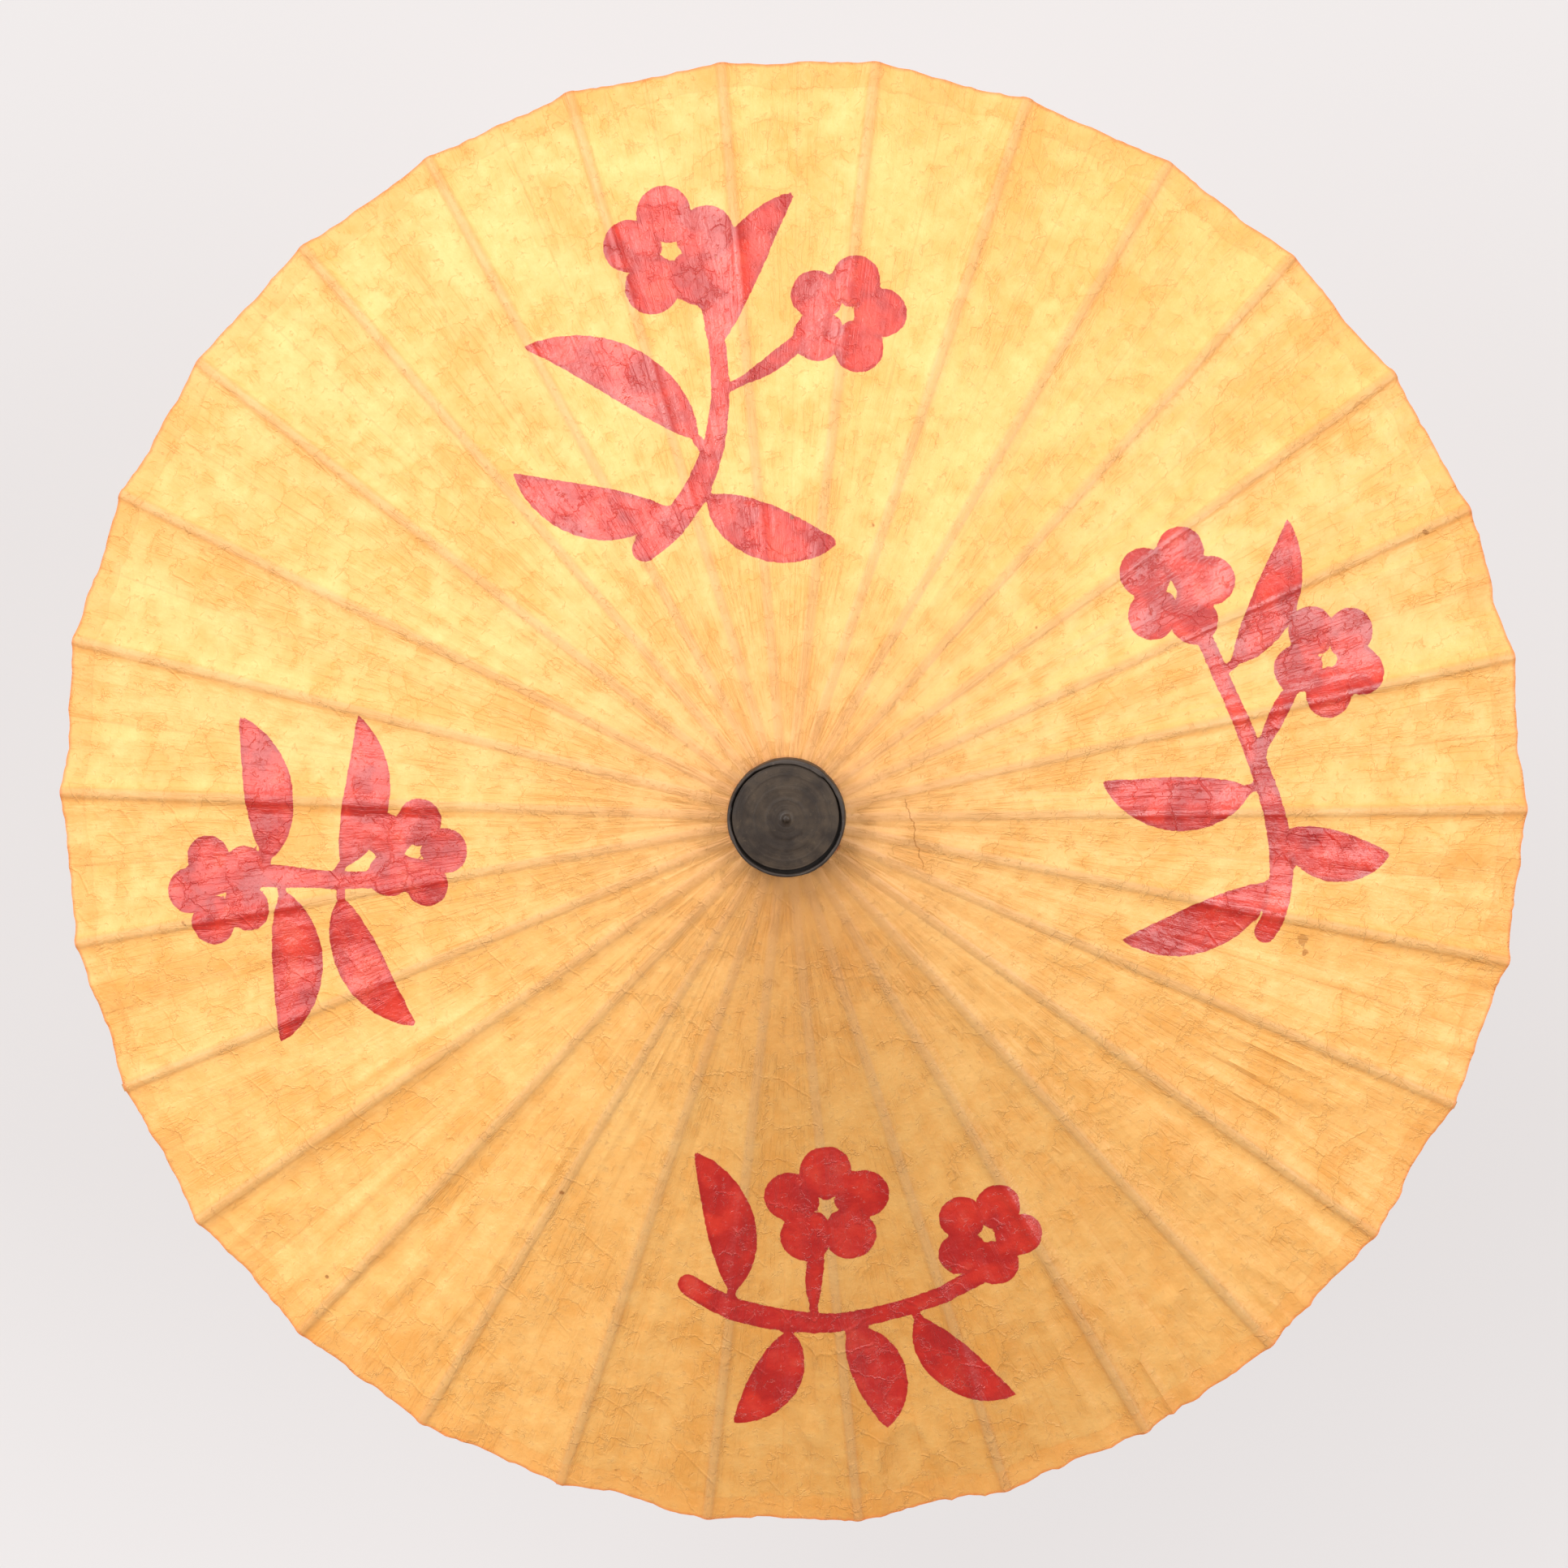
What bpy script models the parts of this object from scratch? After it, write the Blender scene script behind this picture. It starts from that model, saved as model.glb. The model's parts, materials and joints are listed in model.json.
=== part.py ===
"""Oil paper umbrella: a split-bamboo folding frame under a faceted oiled-paper canopy.

The umbrella stands open with +Z up and its origin at the middle of the end cap's
flat bottom face. Rib 1 and the spring catch point along +X. Lengths and tables
are in millimetres and are turned into metres as the meshes and objects are made.

The linkage is isosceles: the pivot circles of the top notch and the runner
share one radius, and each stretcher is as long as the rib's stretch from the
notch to the stretcher's pivot. So a rib that turns by q carries its stretcher
by -2q about the rib, and the runner stays square to the shaft and slides.
"""

import math

import bmesh
import bpy
from mathutils import Matrix, Vector

MM = 0.001

# ------------------------------------------------------- driving dimensions
RIBS = 30
STRETCHER_EVERY = 2  # one stretcher on every second rib
STEP = 2 * math.pi / RIBS
SLOPE = math.radians(18.0)  # how far an open rib falls below the horizontal
PIVOT_Z = 565.0  # height of the rib pivots in the top notch
PIVOT_R = 24.0  # radius of the pivot circle, in the notch and in the runner
LINK = 190.0  # notch pivot to stretcher pivot, and stretcher pivot to runner pivot
RUNNER_Z = PIVOT_Z - 2 * LINK * math.sin(SLOPE)

SHAFT_R = 8.0
FIT_GAP = 0.3  # clearance around and beyond a fitted end
SHAFT_BORE_R = SHAFT_R + FIT_GAP
SHAFT_TOP = 13.0  # above the notch's pivots
HANDLE_FLOOR = 20.0  # bottom of the handle's bore for the shaft
RIB_TOP = 3.0  # the rib's paper side, above its pivot line

# tongues of ribs and stretchers, in the slots of the notch and the runner
TONGUE_W = 2.6
TONGUE_R = 2.9
TONGUE_STEPS = 6
TONGUE_OVERLAP = 3.0  # how far a tongue runs into its bar
SHOULDER = 6.5  # pivot to the start of the full-width bar
THREAD_HOLE_R = 1.1

# pins and their holes; places are measured from the notch's or runner's pivots
CATCH_PIN_R, CATCH_HOLE_R = 1.0, 1.3
CATCH_X, CATCH_DROP = 4.5, -68.0  # from the shaft's axis, and from the runner's pivots
PEG_R, PEG_HOLE_R = 1.5, 1.8
PEG_DROP = -10.5  # from the notch's pivots
STOP_R, STOP_HOLE_R = 1.2, 1.5
STOP_RISE = 6.8  # from the runner's pivots
PIN_SIDES = 10
FINE_SIDES = 6  # link pins and the holes in ribs and stretchers

# half lengths of the drills, each longer than what it goes through
STRIP_DRILL, SHAFT_DRILL, NOTCH_DRILL = 4, 12, 20


# ---------------------------------------------------------------- materials
FINISHES = {
    "bamboo": dict(colour=(0.62, 0.42, 0.20), roughness=0.45),
    "bamboo_dark": dict(colour=(0.45, 0.27, 0.12), roughness=0.4),
    "turned_wood": dict(colour=(0.30, 0.16, 0.07), roughness=0.45),
    "lacquered_cap": dict(colour=(0.070, 0.058, 0.050), roughness=0.35),
    "oiled_paper": dict(colour=(0.85, 0.55, 0.20), roughness=0.4),
    "cotton_thread": dict(colour=(0.55, 0.10, 0.06), roughness=0.85),
    "brass": dict(colour=(0.72, 0.52, 0.22), roughness=0.3, metallic=1.0),
    "dark_horn": dict(colour=(0.045, 0.032, 0.026), roughness=0.3),
}


def material(name, colour, roughness, metallic=0.0):
    made = bpy.data.materials.new(name)
    made.use_nodes = True
    made.diffuse_color = (*colour, 1.0)
    shader = made.node_tree.nodes["Principled BSDF"]
    shader.inputs["Base Color"].default_value = (*colour, 1.0)
    shader.inputs["Roughness"].default_value = roughness
    shader.inputs["Metallic"].default_value = metallic
    return made


# ------------------------------------------------------------ scene helpers
def clear_scene():
    for thing in list(bpy.data.objects):
        bpy.data.objects.remove(thing, do_unlink=True)


def add_object(name, data, parent, location, rotation):
    thing = bpy.data.objects.new(name, data)
    bpy.context.scene.collection.objects.link(thing)
    thing.parent = parent
    thing.location = [part * MM for part in location]
    thing.rotation_euler = rotation
    return thing


def place(name, mesh, finish, parent, location=(0, 0, 0), rotation=(0, 0, 0)):
    """One piece, located in its parent's frame. Pieces may share a mesh."""
    if not mesh.materials:
        mesh.materials.append(finish)
    add_object(name, mesh, parent, location, rotation)


def marker(name, height=0.0, parent=None):
    """An empty on the shaft's axis, for other pieces to hang from."""
    thing = add_object(name, None, parent, (0, 0, height), (0, 0, 0))
    thing.empty_display_size = 0.01
    return thing


# ------------------------------------------------------------- mesh helpers
def mesh_from(draft, name):
    """Finish a bmesh drawn in millimetres as a mesh in metres."""
    bmesh.ops.recalc_face_normals(draft, faces=draft.faces)
    bmesh.ops.scale(draft, vec=(MM, MM, MM), verts=draft.verts)
    mesh = bpy.data.meshes.new(name)
    draft.to_mesh(mesh)
    draft.free()
    return mesh


def lathe(profile, segments, name, phase=0.0):
    """A closed outline of (radius, height) points, turned about Z."""
    draft = bmesh.new()
    ring = [
        draft.verts.new((radius * math.cos(phase), radius * math.sin(phase), z))
        for radius, z in profile
    ]
    count = len(ring)
    # an edge that lies on the axis sweeps no face
    edges = [
        draft.edges.new((ring[i], ring[(i + 1) % count]))
        for i in range(count)
        if not (profile[i][0] == 0 and profile[(i + 1) % count][0] == 0)
    ]
    bmesh.ops.spin(
        draft,
        geom=ring + edges,
        cent=(0, 0, 0),
        axis=(0, 0, 1),
        dvec=(0, 0, 0),
        angle=2 * math.pi,
        steps=segments,
        use_merge=True,
        use_duplicate=False,
    )
    bmesh.ops.remove_doubles(draft, verts=draft.verts, dist=1e-4)
    loose = [edge for edge in draft.edges if not edge.link_faces]
    bmesh.ops.delete(draft, geom=loose, context="EDGES")
    return mesh_from(draft, name)


def prism(outline, half_width, name="prism"):
    """An outline of (x, z) points, made solid from -half_width to +half_width in Y."""
    draft = bmesh.new()
    face = draft.faces.new([draft.verts.new((x, -half_width, z)) for x, z in outline])
    moved = bmesh.ops.extrude_face_region(draft, geom=[face])["geom"]
    bmesh.ops.translate(
        draft,
        vec=(0, 2 * half_width, 0),
        verts=[item for item in moved if isinstance(item, bmesh.types.BMVert)],
    )
    return mesh_from(draft, name)


def bar(sections, name):
    """A four-sided bar along X through sections (x, half width, z low, z high)."""
    draft = bmesh.new()
    rings = [
        [
            draft.verts.new(corner)
            for corner in ((x, -half, low), (x, half, low), (x, half, high), (x, -half, high))
        ]
        for x, half, low, high in sections
    ]
    draft.faces.new(rings[0])
    draft.faces.new(rings[-1])
    for near, far in zip(rings, rings[1:]):
        for i in range(4):
            after = (i + 1) % 4
            draft.faces.new((near[i], near[after], far[after], far[i]))
    return mesh_from(draft, name)


def rod(radius, half_length, axis, centre=(0, 0, 0), sides=PIN_SIDES, name="drill"):
    """A round rod or drill along axis 'X' or 'Y' through centre."""
    draft = bmesh.new()
    bmesh.ops.create_cone(
        draft,
        cap_ends=True,
        cap_tris=False,
        segments=sides,
        radius1=radius,
        radius2=radius,
        depth=2 * half_length,
    )
    turn = Matrix.Rotation(math.pi / 2, 3, {"X": "Y", "Y": "X"}[axis])
    bmesh.ops.rotate(draft, cent=(0, 0, 0), matrix=turn, verts=draft.verts)
    bmesh.ops.translate(draft, vec=centre, verts=draft.verts)
    return mesh_from(draft, name)


def add_block(draft, size, centre):
    """A block in draft; returns its vertices."""
    verts = bmesh.ops.create_cube(draft, size=1.0)["verts"]
    bmesh.ops.scale(draft, vec=size, verts=verts)
    bmesh.ops.translate(draft, vec=centre, verts=verts)
    return verts


def box(low, high):
    """A block between two opposite corners."""
    draft = bmesh.new()
    low, high = Vector(low), Vector(high)
    add_block(draft, high - low, (high + low) / 2)
    return mesh_from(draft, "box")


def arc(centre_x, radius, start, end, steps):
    """Points of the (x, z) plane on an arc about (centre_x, 0), in degrees."""
    angles = [math.radians(start + (end - start) * i / steps) for i in range(steps + 1)]
    return [
        (centre_x + radius * math.cos(angle), radius * math.sin(angle)) for angle in angles
    ]


def combined(base, steps, name):
    """base after each (operation, mesh) of steps, as one plain mesh."""
    scene = bpy.context.scene.collection
    body = bpy.data.objects.new(name + "_blank", base)
    scene.objects.link(body)
    helpers = []
    for index, (operation, mesh) in enumerate(steps):
        tool = bpy.data.objects.new(f"{name}_tool{index}", mesh)
        tool.hide_render = True
        scene.objects.link(tool)
        helpers.append(tool)
        change = body.modifiers.new(f"step{index}", "BOOLEAN")
        change.operation = operation
        change.solver = "EXACT"
        change.object = tool
    bpy.context.view_layer.update()
    graph = bpy.context.evaluated_depsgraph_get()
    result = bpy.data.meshes.new_from_object(body.evaluated_get(graph))
    result.name = name
    for thing in [body] + helpers:
        bpy.data.objects.remove(thing, do_unlink=True)
    return result


def smooth(mesh, angle):
    """Smooth shading, with edges sharper than angle (degrees) kept crisp."""
    mesh.shade_smooth()
    mesh.set_sharp_from_angle(angle=math.radians(angle))


# -------------------------------------------------------------------- shaft
CATCH_SLOT_X = (-0.5, 10.0)
CATCH_SLOT_Z = (-74.0, -25.0)  # from the runner's pivots
CATCH_SLOT_HALF_W = 1.5


def add_shaft(frame, finish):
    bottom = HANDLE_FLOOR + FIT_GAP
    top = PIVOT_Z + SHAFT_TOP
    pole = lathe([(0, bottom), (SHAFT_R, bottom), (SHAFT_R, top), (0, top)], RIBS, "pole")
    slot_low, slot_high = [
        (x, y, RUNNER_Z + z)
        for x, y, z in zip(CATCH_SLOT_X, (-CATCH_SLOT_HALF_W, CATCH_SLOT_HALF_W), CATCH_SLOT_Z)
    ]
    catch_at = (CATCH_X, 0, RUNNER_Z + CATCH_DROP)
    peg_at = (0, 0, PIVOT_Z + PEG_DROP)
    stop_at = (0, 0, RUNNER_Z + STOP_RISE)
    cuts = [
        box(slot_low, slot_high),
        rod(CATCH_HOLE_R, SHAFT_DRILL, "Y", catch_at),
        rod(PEG_HOLE_R, SHAFT_DRILL, "Y", peg_at),
        rod(STOP_HOLE_R, SHAFT_DRILL, "X", stop_at),
    ]
    shaft = combined(pole, [("DIFFERENCE", cut) for cut in cuts], "shaft")
    smooth(shaft, angle=35)
    place("shaft", shaft, finish["bamboo_dark"], frame)


# ---------------------------------------- catch, its pin and spring, and stop
# (x from the shaft's axis, z from the runner's pivots), up to the rounded tail
CATCH_OUTLINE = [
    (7.4, -60.0), (7.4, -35.5), (11.6, -28.2),
    (11.6, -27.0), (4.4, -27.0), (4.4, -60.0),
]
CATCH_TAIL_R = 2.6
CATCH_HALF_W = 1.2
CATCH_PIN_HALF = 6.3
STOP_HALF = 11.5

SPRING_DROP = -52.0  # the leaf's middle, from the runner's pivots
SPRING_HALF, SPRING_HALF_W = 10.0, 1.0
SPRING_RISE = 2.3  # how far the leaf bows towards +X
SPRING_T, SPRING_FOOT_T = 0.4, 0.08
SPRING_FOOT_X = -0.1
SPRING_BACK_X = -0.2  # nothing of the leaf lies further towards -X
SPRING_STEPS = 10


def catch_mesh():
    """The spring catch, in the X-Z plane with its origin on its pin."""
    outline = [(x - CATCH_X, z - CATCH_DROP) for x, z in CATCH_OUTLINE]
    lever = prism(outline + arc(0, CATCH_TAIL_R, 180, 360, 6), CATCH_HALF_W)
    bore = rod(CATCH_HOLE_R, STRIP_DRILL, "Y")
    return combined(lever, [("DIFFERENCE", bore)], "catch")


def spring_mesh():
    """A bowed leaf along Z, its middle towards +X, thinned at both feet."""
    front, back = [], []
    for i in range(SPRING_STEPS + 1):
        z = -SPRING_HALF + 2 * SPRING_HALF * i / SPRING_STEPS
        bow = SPRING_RISE * math.cos(math.pi * z / (2 * SPRING_HALF)) ** 2
        x = SPRING_FOOT_X + bow
        thickness = SPRING_T if 0 < i < SPRING_STEPS else SPRING_FOOT_T
        front.append((x, z))
        back.append((max(x - thickness, SPRING_BACK_X), z))
    return prism(front + back[::-1], SPRING_HALF_W, "catch_spring")


def add_catch_and_stop(frame, finish):
    brass = finish["brass"]
    catch_at = (CATCH_X, 0, RUNNER_Z + CATCH_DROP)
    place("catch", catch_mesh(), brass, frame, catch_at)
    pin = rod(CATCH_PIN_R, CATCH_PIN_HALF, "Y", name="catch_pin")
    place("catch_pin", pin, brass, frame, catch_at)
    place("catch_spring", spring_mesh(), brass, frame, (0, 0, RUNNER_Z + SPRING_DROP))
    stop = rod(STOP_R, STOP_HALF, "X", name="stop_pin")
    place("stop_pin", stop, finish["bamboo"], frame, (0, 0, RUNNER_Z + STOP_RISE))


# ---------------------------------------------------- top notch and runner
FIN_R = 28.5
SLOT_W = 3.2
SLOT_FLOOR_R = 20.2
SLOT_CUT, SLOT_CUT_H = 12.0, 14.0  # the saw block's radial length and its height
GROOVE_R, GROOVE_H = 23.2, 0.9  # floor radius and half height of the thread's groove
THREAD_R = 0.5
THREAD_SIDES = 6
PEG_HALF = 15.4
RUNNER_BORE_R = 8.6
RUNNER_BOTTOM = -26.0

# profiles are (radius, height from the pivots)
RIM_GROOVE = [
    (FIN_R, -GROOVE_H), (GROOVE_R, -GROOVE_H), (GROOVE_R, GROOVE_H), (FIN_R, GROOVE_H),
]
NOTCH_PROFILE = [
    (SHAFT_BORE_R, -16.0), (15.0, -16.0), (16.0, -15.0), (16.0, -5.5),
    (17.5, -4.5), (27.0, -4.5), (FIN_R, -3.0),
    *RIM_GROOVE,
    (FIN_R, 4.0), (14.0, 4.0), (14.0, 8.0), (SHAFT_BORE_R, 8.0),
]
RUNNER_PROFILE = [
    (RUNNER_BORE_R, RUNNER_BOTTOM), (13.0, RUNNER_BOTTOM), (14.0, RUNNER_BOTTOM + 1.0),
    (14.0, -9.0), (17.5, -5.0), (19.5, -4.0), (FIN_R, -4.0),
    *RIM_GROOVE,
    (FIN_R, 3.0), (27.0, 4.5), (RUNNER_BORE_R, 4.5),
]


def slotted_hub(profile, name):
    """A turned hub whose rim is sawn into fins, one slot for each rib."""
    hub = lathe(profile, RIBS, name + "_turned")
    draft = bmesh.new()
    for i in range(RIBS):
        verts = add_block(
            draft,
            size=(SLOT_CUT, SLOT_W, SLOT_CUT_H),
            centre=(SLOT_FLOOR_R + SLOT_CUT / 2, 0, 0),
        )
        turn = Matrix.Rotation(i * STEP, 3, "Z")
        bmesh.ops.rotate(draft, cent=(0, 0, 0), matrix=turn, verts=verts)
    return combined(hub, [("DIFFERENCE", mesh_from(draft, name + "_slots"))], name)


def add_thread(name, parent, finish):
    """The cord that ties one ring of pivots: a straight run through each slot."""
    corner_r = PIVOT_R / math.cos(STEP / 2)
    angles = [2 * math.pi * i / THREAD_SIDES for i in range(THREAD_SIDES)]
    profile = [
        (corner_r + THREAD_R * math.cos(angle), THREAD_R * math.sin(angle))
        for angle in angles
    ]
    cord = lathe(profile, RIBS, name, phase=STEP / 2)
    place(name, cord, finish["cotton_thread"], parent)


def add_top_notch(head, finish):
    """The notch, its thread and the peg that holds it on the shaft."""
    peg_at = (0, 0, PEG_DROP)
    hole = rod(PEG_HOLE_R, NOTCH_DRILL, "Y", peg_at)
    sawn = slotted_hub(NOTCH_PROFILE, "top_notch_sawn")
    notch = combined(sawn, [("DIFFERENCE", hole)], "top_notch")
    place("top_notch", notch, finish["turned_wood"], head)
    add_thread("notch_thread", head, finish)
    peg = rod(PEG_R, PEG_HALF, "Y", name="notch_peg")
    place("notch_peg", peg, finish["bamboo"], head, peg_at)


def add_runner(frame, finish):
    axis = marker("runner_axis", RUNNER_Z, frame)
    place("runner", slotted_hub(RUNNER_PROFILE, "runner"), finish["turned_wood"], axis)
    add_thread("runner_thread", axis, finish)


# ------------------------------------------------------ ribs and stretchers
RIB_END_R = 419.0
RIB_LENGTH = (RIB_END_R - PIVOT_R - RIB_TOP * math.sin(SLOPE)) / math.cos(SLOPE)
RIB_BOTTOM, RIB_TIP_BOTTOM = -1.5, 0.5
RIB_ROOT_HALF, RIB_HALF, RIB_TIP_HALF = 2.1, 2.4, 2.2  # half widths
RIB_FULL_X = 70.0  # the rib reaches its full width here
RIB_TAPER_X = LINK + 60.0  # and tapers to the tip from here
RIB_ROOT_Z = (-1.2, 2.6)  # the tongue's low and high sides inside the bar
RIB_SLOT_HALF_W = 1.2
RIB_SLOT_Z = (-4.0, 1.9)
RIB_SLOT_BACK, RIB_SLOT_FRONT = 8.0, 45.0  # from the link hole: to the notch, to the tip
LINK_PIN_R, LINK_HOLE_R = 0.7, 1.0
LINK_PIN_HALF = 2.2

STRETCHER_HALF = 1.8
STRETCHER_Z = (-3.2, 0.3)
STRETCHER_SHOULDER = 34.0  # rib pivot to the start of the full-width bar
STRETCHER_ROOT_Z = (-2.9, 0.0)  # the tongues' low and high sides inside the bar
LINK_TONGUE_R, LINK_TONGUE_W = 1.5, 1.8
LINK_TONGUE_STEPS = 5


def rib_mesh():
    """Split bamboo: X runs out along the rib, Z is its paper side, origin on its pivot."""
    body = bar(
        [
            (SHOULDER, RIB_ROOT_HALF, RIB_BOTTOM, RIB_TOP),
            (RIB_FULL_X, RIB_HALF, RIB_BOTTOM, RIB_TOP),
            (RIB_TAPER_X, RIB_HALF, RIB_BOTTOM, RIB_TOP),
            (RIB_LENGTH, RIB_TIP_HALF, RIB_TIP_BOTTOM, RIB_TOP),
        ],
        "rib_bar",
    )
    root_x = SHOULDER + TONGUE_OVERLAP
    low, high = RIB_ROOT_Z
    rounded = arc(0, TONGUE_R, 90, 270, TONGUE_STEPS)
    tongue = prism(rounded + [(root_x, low), (root_x, high)], TONGUE_W / 2)
    slot = box(
        (LINK - RIB_SLOT_BACK, -RIB_SLOT_HALF_W, RIB_SLOT_Z[0]),
        (LINK + RIB_SLOT_FRONT, RIB_SLOT_HALF_W, RIB_SLOT_Z[1]),
    )
    steps = [
        ("UNION", tongue),
        ("DIFFERENCE", rod(THREAD_HOLE_R, STRIP_DRILL, "Y", sides=FINE_SIDES)),
        ("DIFFERENCE", slot),
        ("DIFFERENCE", rod(LINK_HOLE_R, STRIP_DRILL, "Y", (LINK, 0, 0), FINE_SIDES)),
    ]
    return combined(body, steps, "rib")


def stretcher_mesh():
    """Split bamboo: X runs from the rib's pivot, at the origin, to the runner's.

    Z points away from the shaft when folded.
    """
    body = bar(
        [
            (STRETCHER_SHOULDER, STRETCHER_HALF, *STRETCHER_Z),
            (LINK - SHOULDER, STRETCHER_HALF, *STRETCHER_Z),
        ],
        "stretcher_bar",
    )
    low, high = STRETCHER_ROOT_Z
    rib_root = STRETCHER_SHOULDER + TONGUE_OVERLAP
    rounded = arc(0, LINK_TONGUE_R, 90, 270, LINK_TONGUE_STEPS)
    rib_end = prism(rounded + [(rib_root, low), (rib_root, high)], LINK_TONGUE_W / 2)
    runner_root = LINK - SHOULDER - TONGUE_OVERLAP
    rounded = arc(LINK, TONGUE_R, -90, 90, TONGUE_STEPS)
    runner_end = prism(rounded + [(runner_root, high), (runner_root, low)], TONGUE_W / 2)
    steps = [
        ("UNION", rib_end),
        ("UNION", runner_end),
        ("UNION", rod(LINK_PIN_R, LINK_PIN_HALF, "Y", sides=FINE_SIDES)),
        ("DIFFERENCE", rod(THREAD_HOLE_R, STRIP_DRILL, "Y", (LINK, 0, 0), FINE_SIDES)),
    ]
    return combined(body, steps, "stretcher")


def add_ribs_and_stretchers(head, finish):
    bamboo = finish["bamboo"]
    rib = rib_mesh()
    stretcher = stretcher_mesh()
    pivot = Vector((PIVOT_R, 0, 0))
    joint = pivot + LINK * Vector((math.cos(SLOPE), 0, -math.sin(SLOPE)))
    for i in range(RIBS):
        around = i * STEP
        turn = Matrix.Rotation(around, 3, "Z")
        place(f"rib_{i + 1:02d}", rib, bamboo, head, turn @ pivot, (0, SLOPE, around))
        if i % STRETCHER_EVERY == 0:
            tilt = (0, math.pi - SLOPE, around)
            place(f"stretcher_{i + 1:02d}", stretcher, bamboo, head, turn @ joint, tilt)


# ------------------------------------------------------------------- canopy
CANOPY_R = 420.0  # at the corners, which lie over the ribs
CANOPY_INNER_R = 29.6
PAPER_GAP = 0.35  # between a rib's top and the paper
PAPER_T = 0.5


def paper_height(radius, above):
    """Height over the pivots of a surface that runs `above` the ribs' pivot lines."""
    return above / math.cos(SLOPE) - (radius - PIVOT_R) * math.tan(SLOPE)


def add_canopy(head, finish):
    low = RIB_TOP + PAPER_GAP
    high = low + PAPER_T
    corners = [(CANOPY_INNER_R, low), (CANOPY_R, low), (CANOPY_R, high), (CANOPY_INNER_R, high)]
    profile = [(radius, paper_height(radius, above)) for radius, above in corners]
    place("canopy", lathe(profile, RIBS, "canopy"), finish["oiled_paper"], head)


# ------------------------------------------------------ cap over the notch
CAP_R = 31.4
CAP_INNER_R = CAP_R - 1.2
CAP_SEGMENTS = 40
LID_R = 28.4
LID_FLOOR = SHAFT_TOP + FIT_GAP  # closes the lid's bore over the shaft

# (radius, height from the notch's pivots)
BAND_PROFILE = [
    (CAP_INNER_R, 2.45), (CAP_R, 2.1), (CAP_R, 14.3),
    (CAP_R - 0.4, 15.8), (CAP_R - 1.2, 16.7), (CAP_R - 2.0, 16.6),
    (CAP_R - 2.6, 15.8), (CAP_R - 2.5, 14.8), (CAP_INNER_R, 13.8),
]
LID_PROFILE = [
    (0, LID_FLOOR), (SHAFT_BORE_R, LID_FLOOR), (SHAFT_BORE_R, 9.0), (13.0, 9.0),
    (13.0, 12.4), (LID_R - 0.6, 12.4), (LID_R, 13.0), (LID_R, 15.0), (LID_R - 0.9, 15.8),
    (4.6, 16.6), (3.2, 17.0), (2.6, 17.9), (1.4, 18.5), (0, 18.6),
]


def add_turned(name, profile, segments, angle, finish, parent):
    """A turned piece on its parent's axis, smooth below angle (degrees)."""
    mesh = lathe(profile, segments, name)
    smooth(mesh, angle)
    place(name, mesh, finish, parent)


def add_cap(head, finish):
    lacquer = finish["lacquered_cap"]
    add_turned("cap_band", BAND_PROFILE, CAP_SEGMENTS, 50, lacquer, head)
    add_turned("cap_top", LID_PROFILE, CAP_SEGMENTS, 30, lacquer, head)


# ------------------------------------------------------- handle and end cap
HANDLE_TOP = 130.0
HANDLE_SEGMENTS = 24
END_CAP_H = 8.0
SPIGOT_R = 4.0  # the end cap's round spigot, inside the handle's socket
SPIGOT_TOP = END_CAP_H + 6.3
SOCKET_R = SPIGOT_R + FIT_GAP
SOCKET_TOP = SPIGOT_TOP + FIT_GAP
HANDLE_BOTTOM = END_CAP_H + FIT_GAP

# (radius, height)
HANDLE_PROFILE = [
    (0, SOCKET_TOP), (SOCKET_R, SOCKET_TOP), (SOCKET_R, HANDLE_BOTTOM),
    (11.4, HANDLE_BOTTOM), (12.6, 14.0), (13.0, 24.0), (11.8, 45.0), (11.2, 70.0),
    (11.8, 98.0), (12.9, 114.0), (12.9, 121.0), (11.4, 127.0), (9.9, HANDLE_TOP),
    (SHAFT_BORE_R, HANDLE_TOP), (SHAFT_BORE_R, HANDLE_FLOOR), (0, HANDLE_FLOOR),
]
END_CAP_PROFILE = [
    (0, 0), (11.0, 0), (12.0, 1.0), (12.2, 4.0), (11.6, END_CAP_H),
    (SPIGOT_R, END_CAP_H), (SPIGOT_R, SPIGOT_TOP), (0, SPIGOT_TOP),
]


def add_handle(frame, finish):
    wood, horn = finish["turned_wood"], finish["dark_horn"]
    add_turned("handle", HANDLE_PROFILE, HANDLE_SEGMENTS, 40, wood, frame)
    add_turned("end_cap", END_CAP_PROFILE, HANDLE_SEGMENTS, 40, horn, frame)


# ----------------------------------------------------------------- assembly
def build():
    clear_scene()
    finish = {name: material(name, **settings) for name, settings in FINISHES.items()}
    frame = marker("umbrella")
    head = marker("head_axis", PIVOT_Z, frame)
    add_shaft(frame, finish)
    add_catch_and_stop(frame, finish)
    add_top_notch(head, finish)
    add_runner(frame, finish)
    add_ribs_and_stretchers(head, finish)
    add_canopy(head, finish)
    add_cap(head, finish)
    add_handle(frame, finish)


build()
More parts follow.
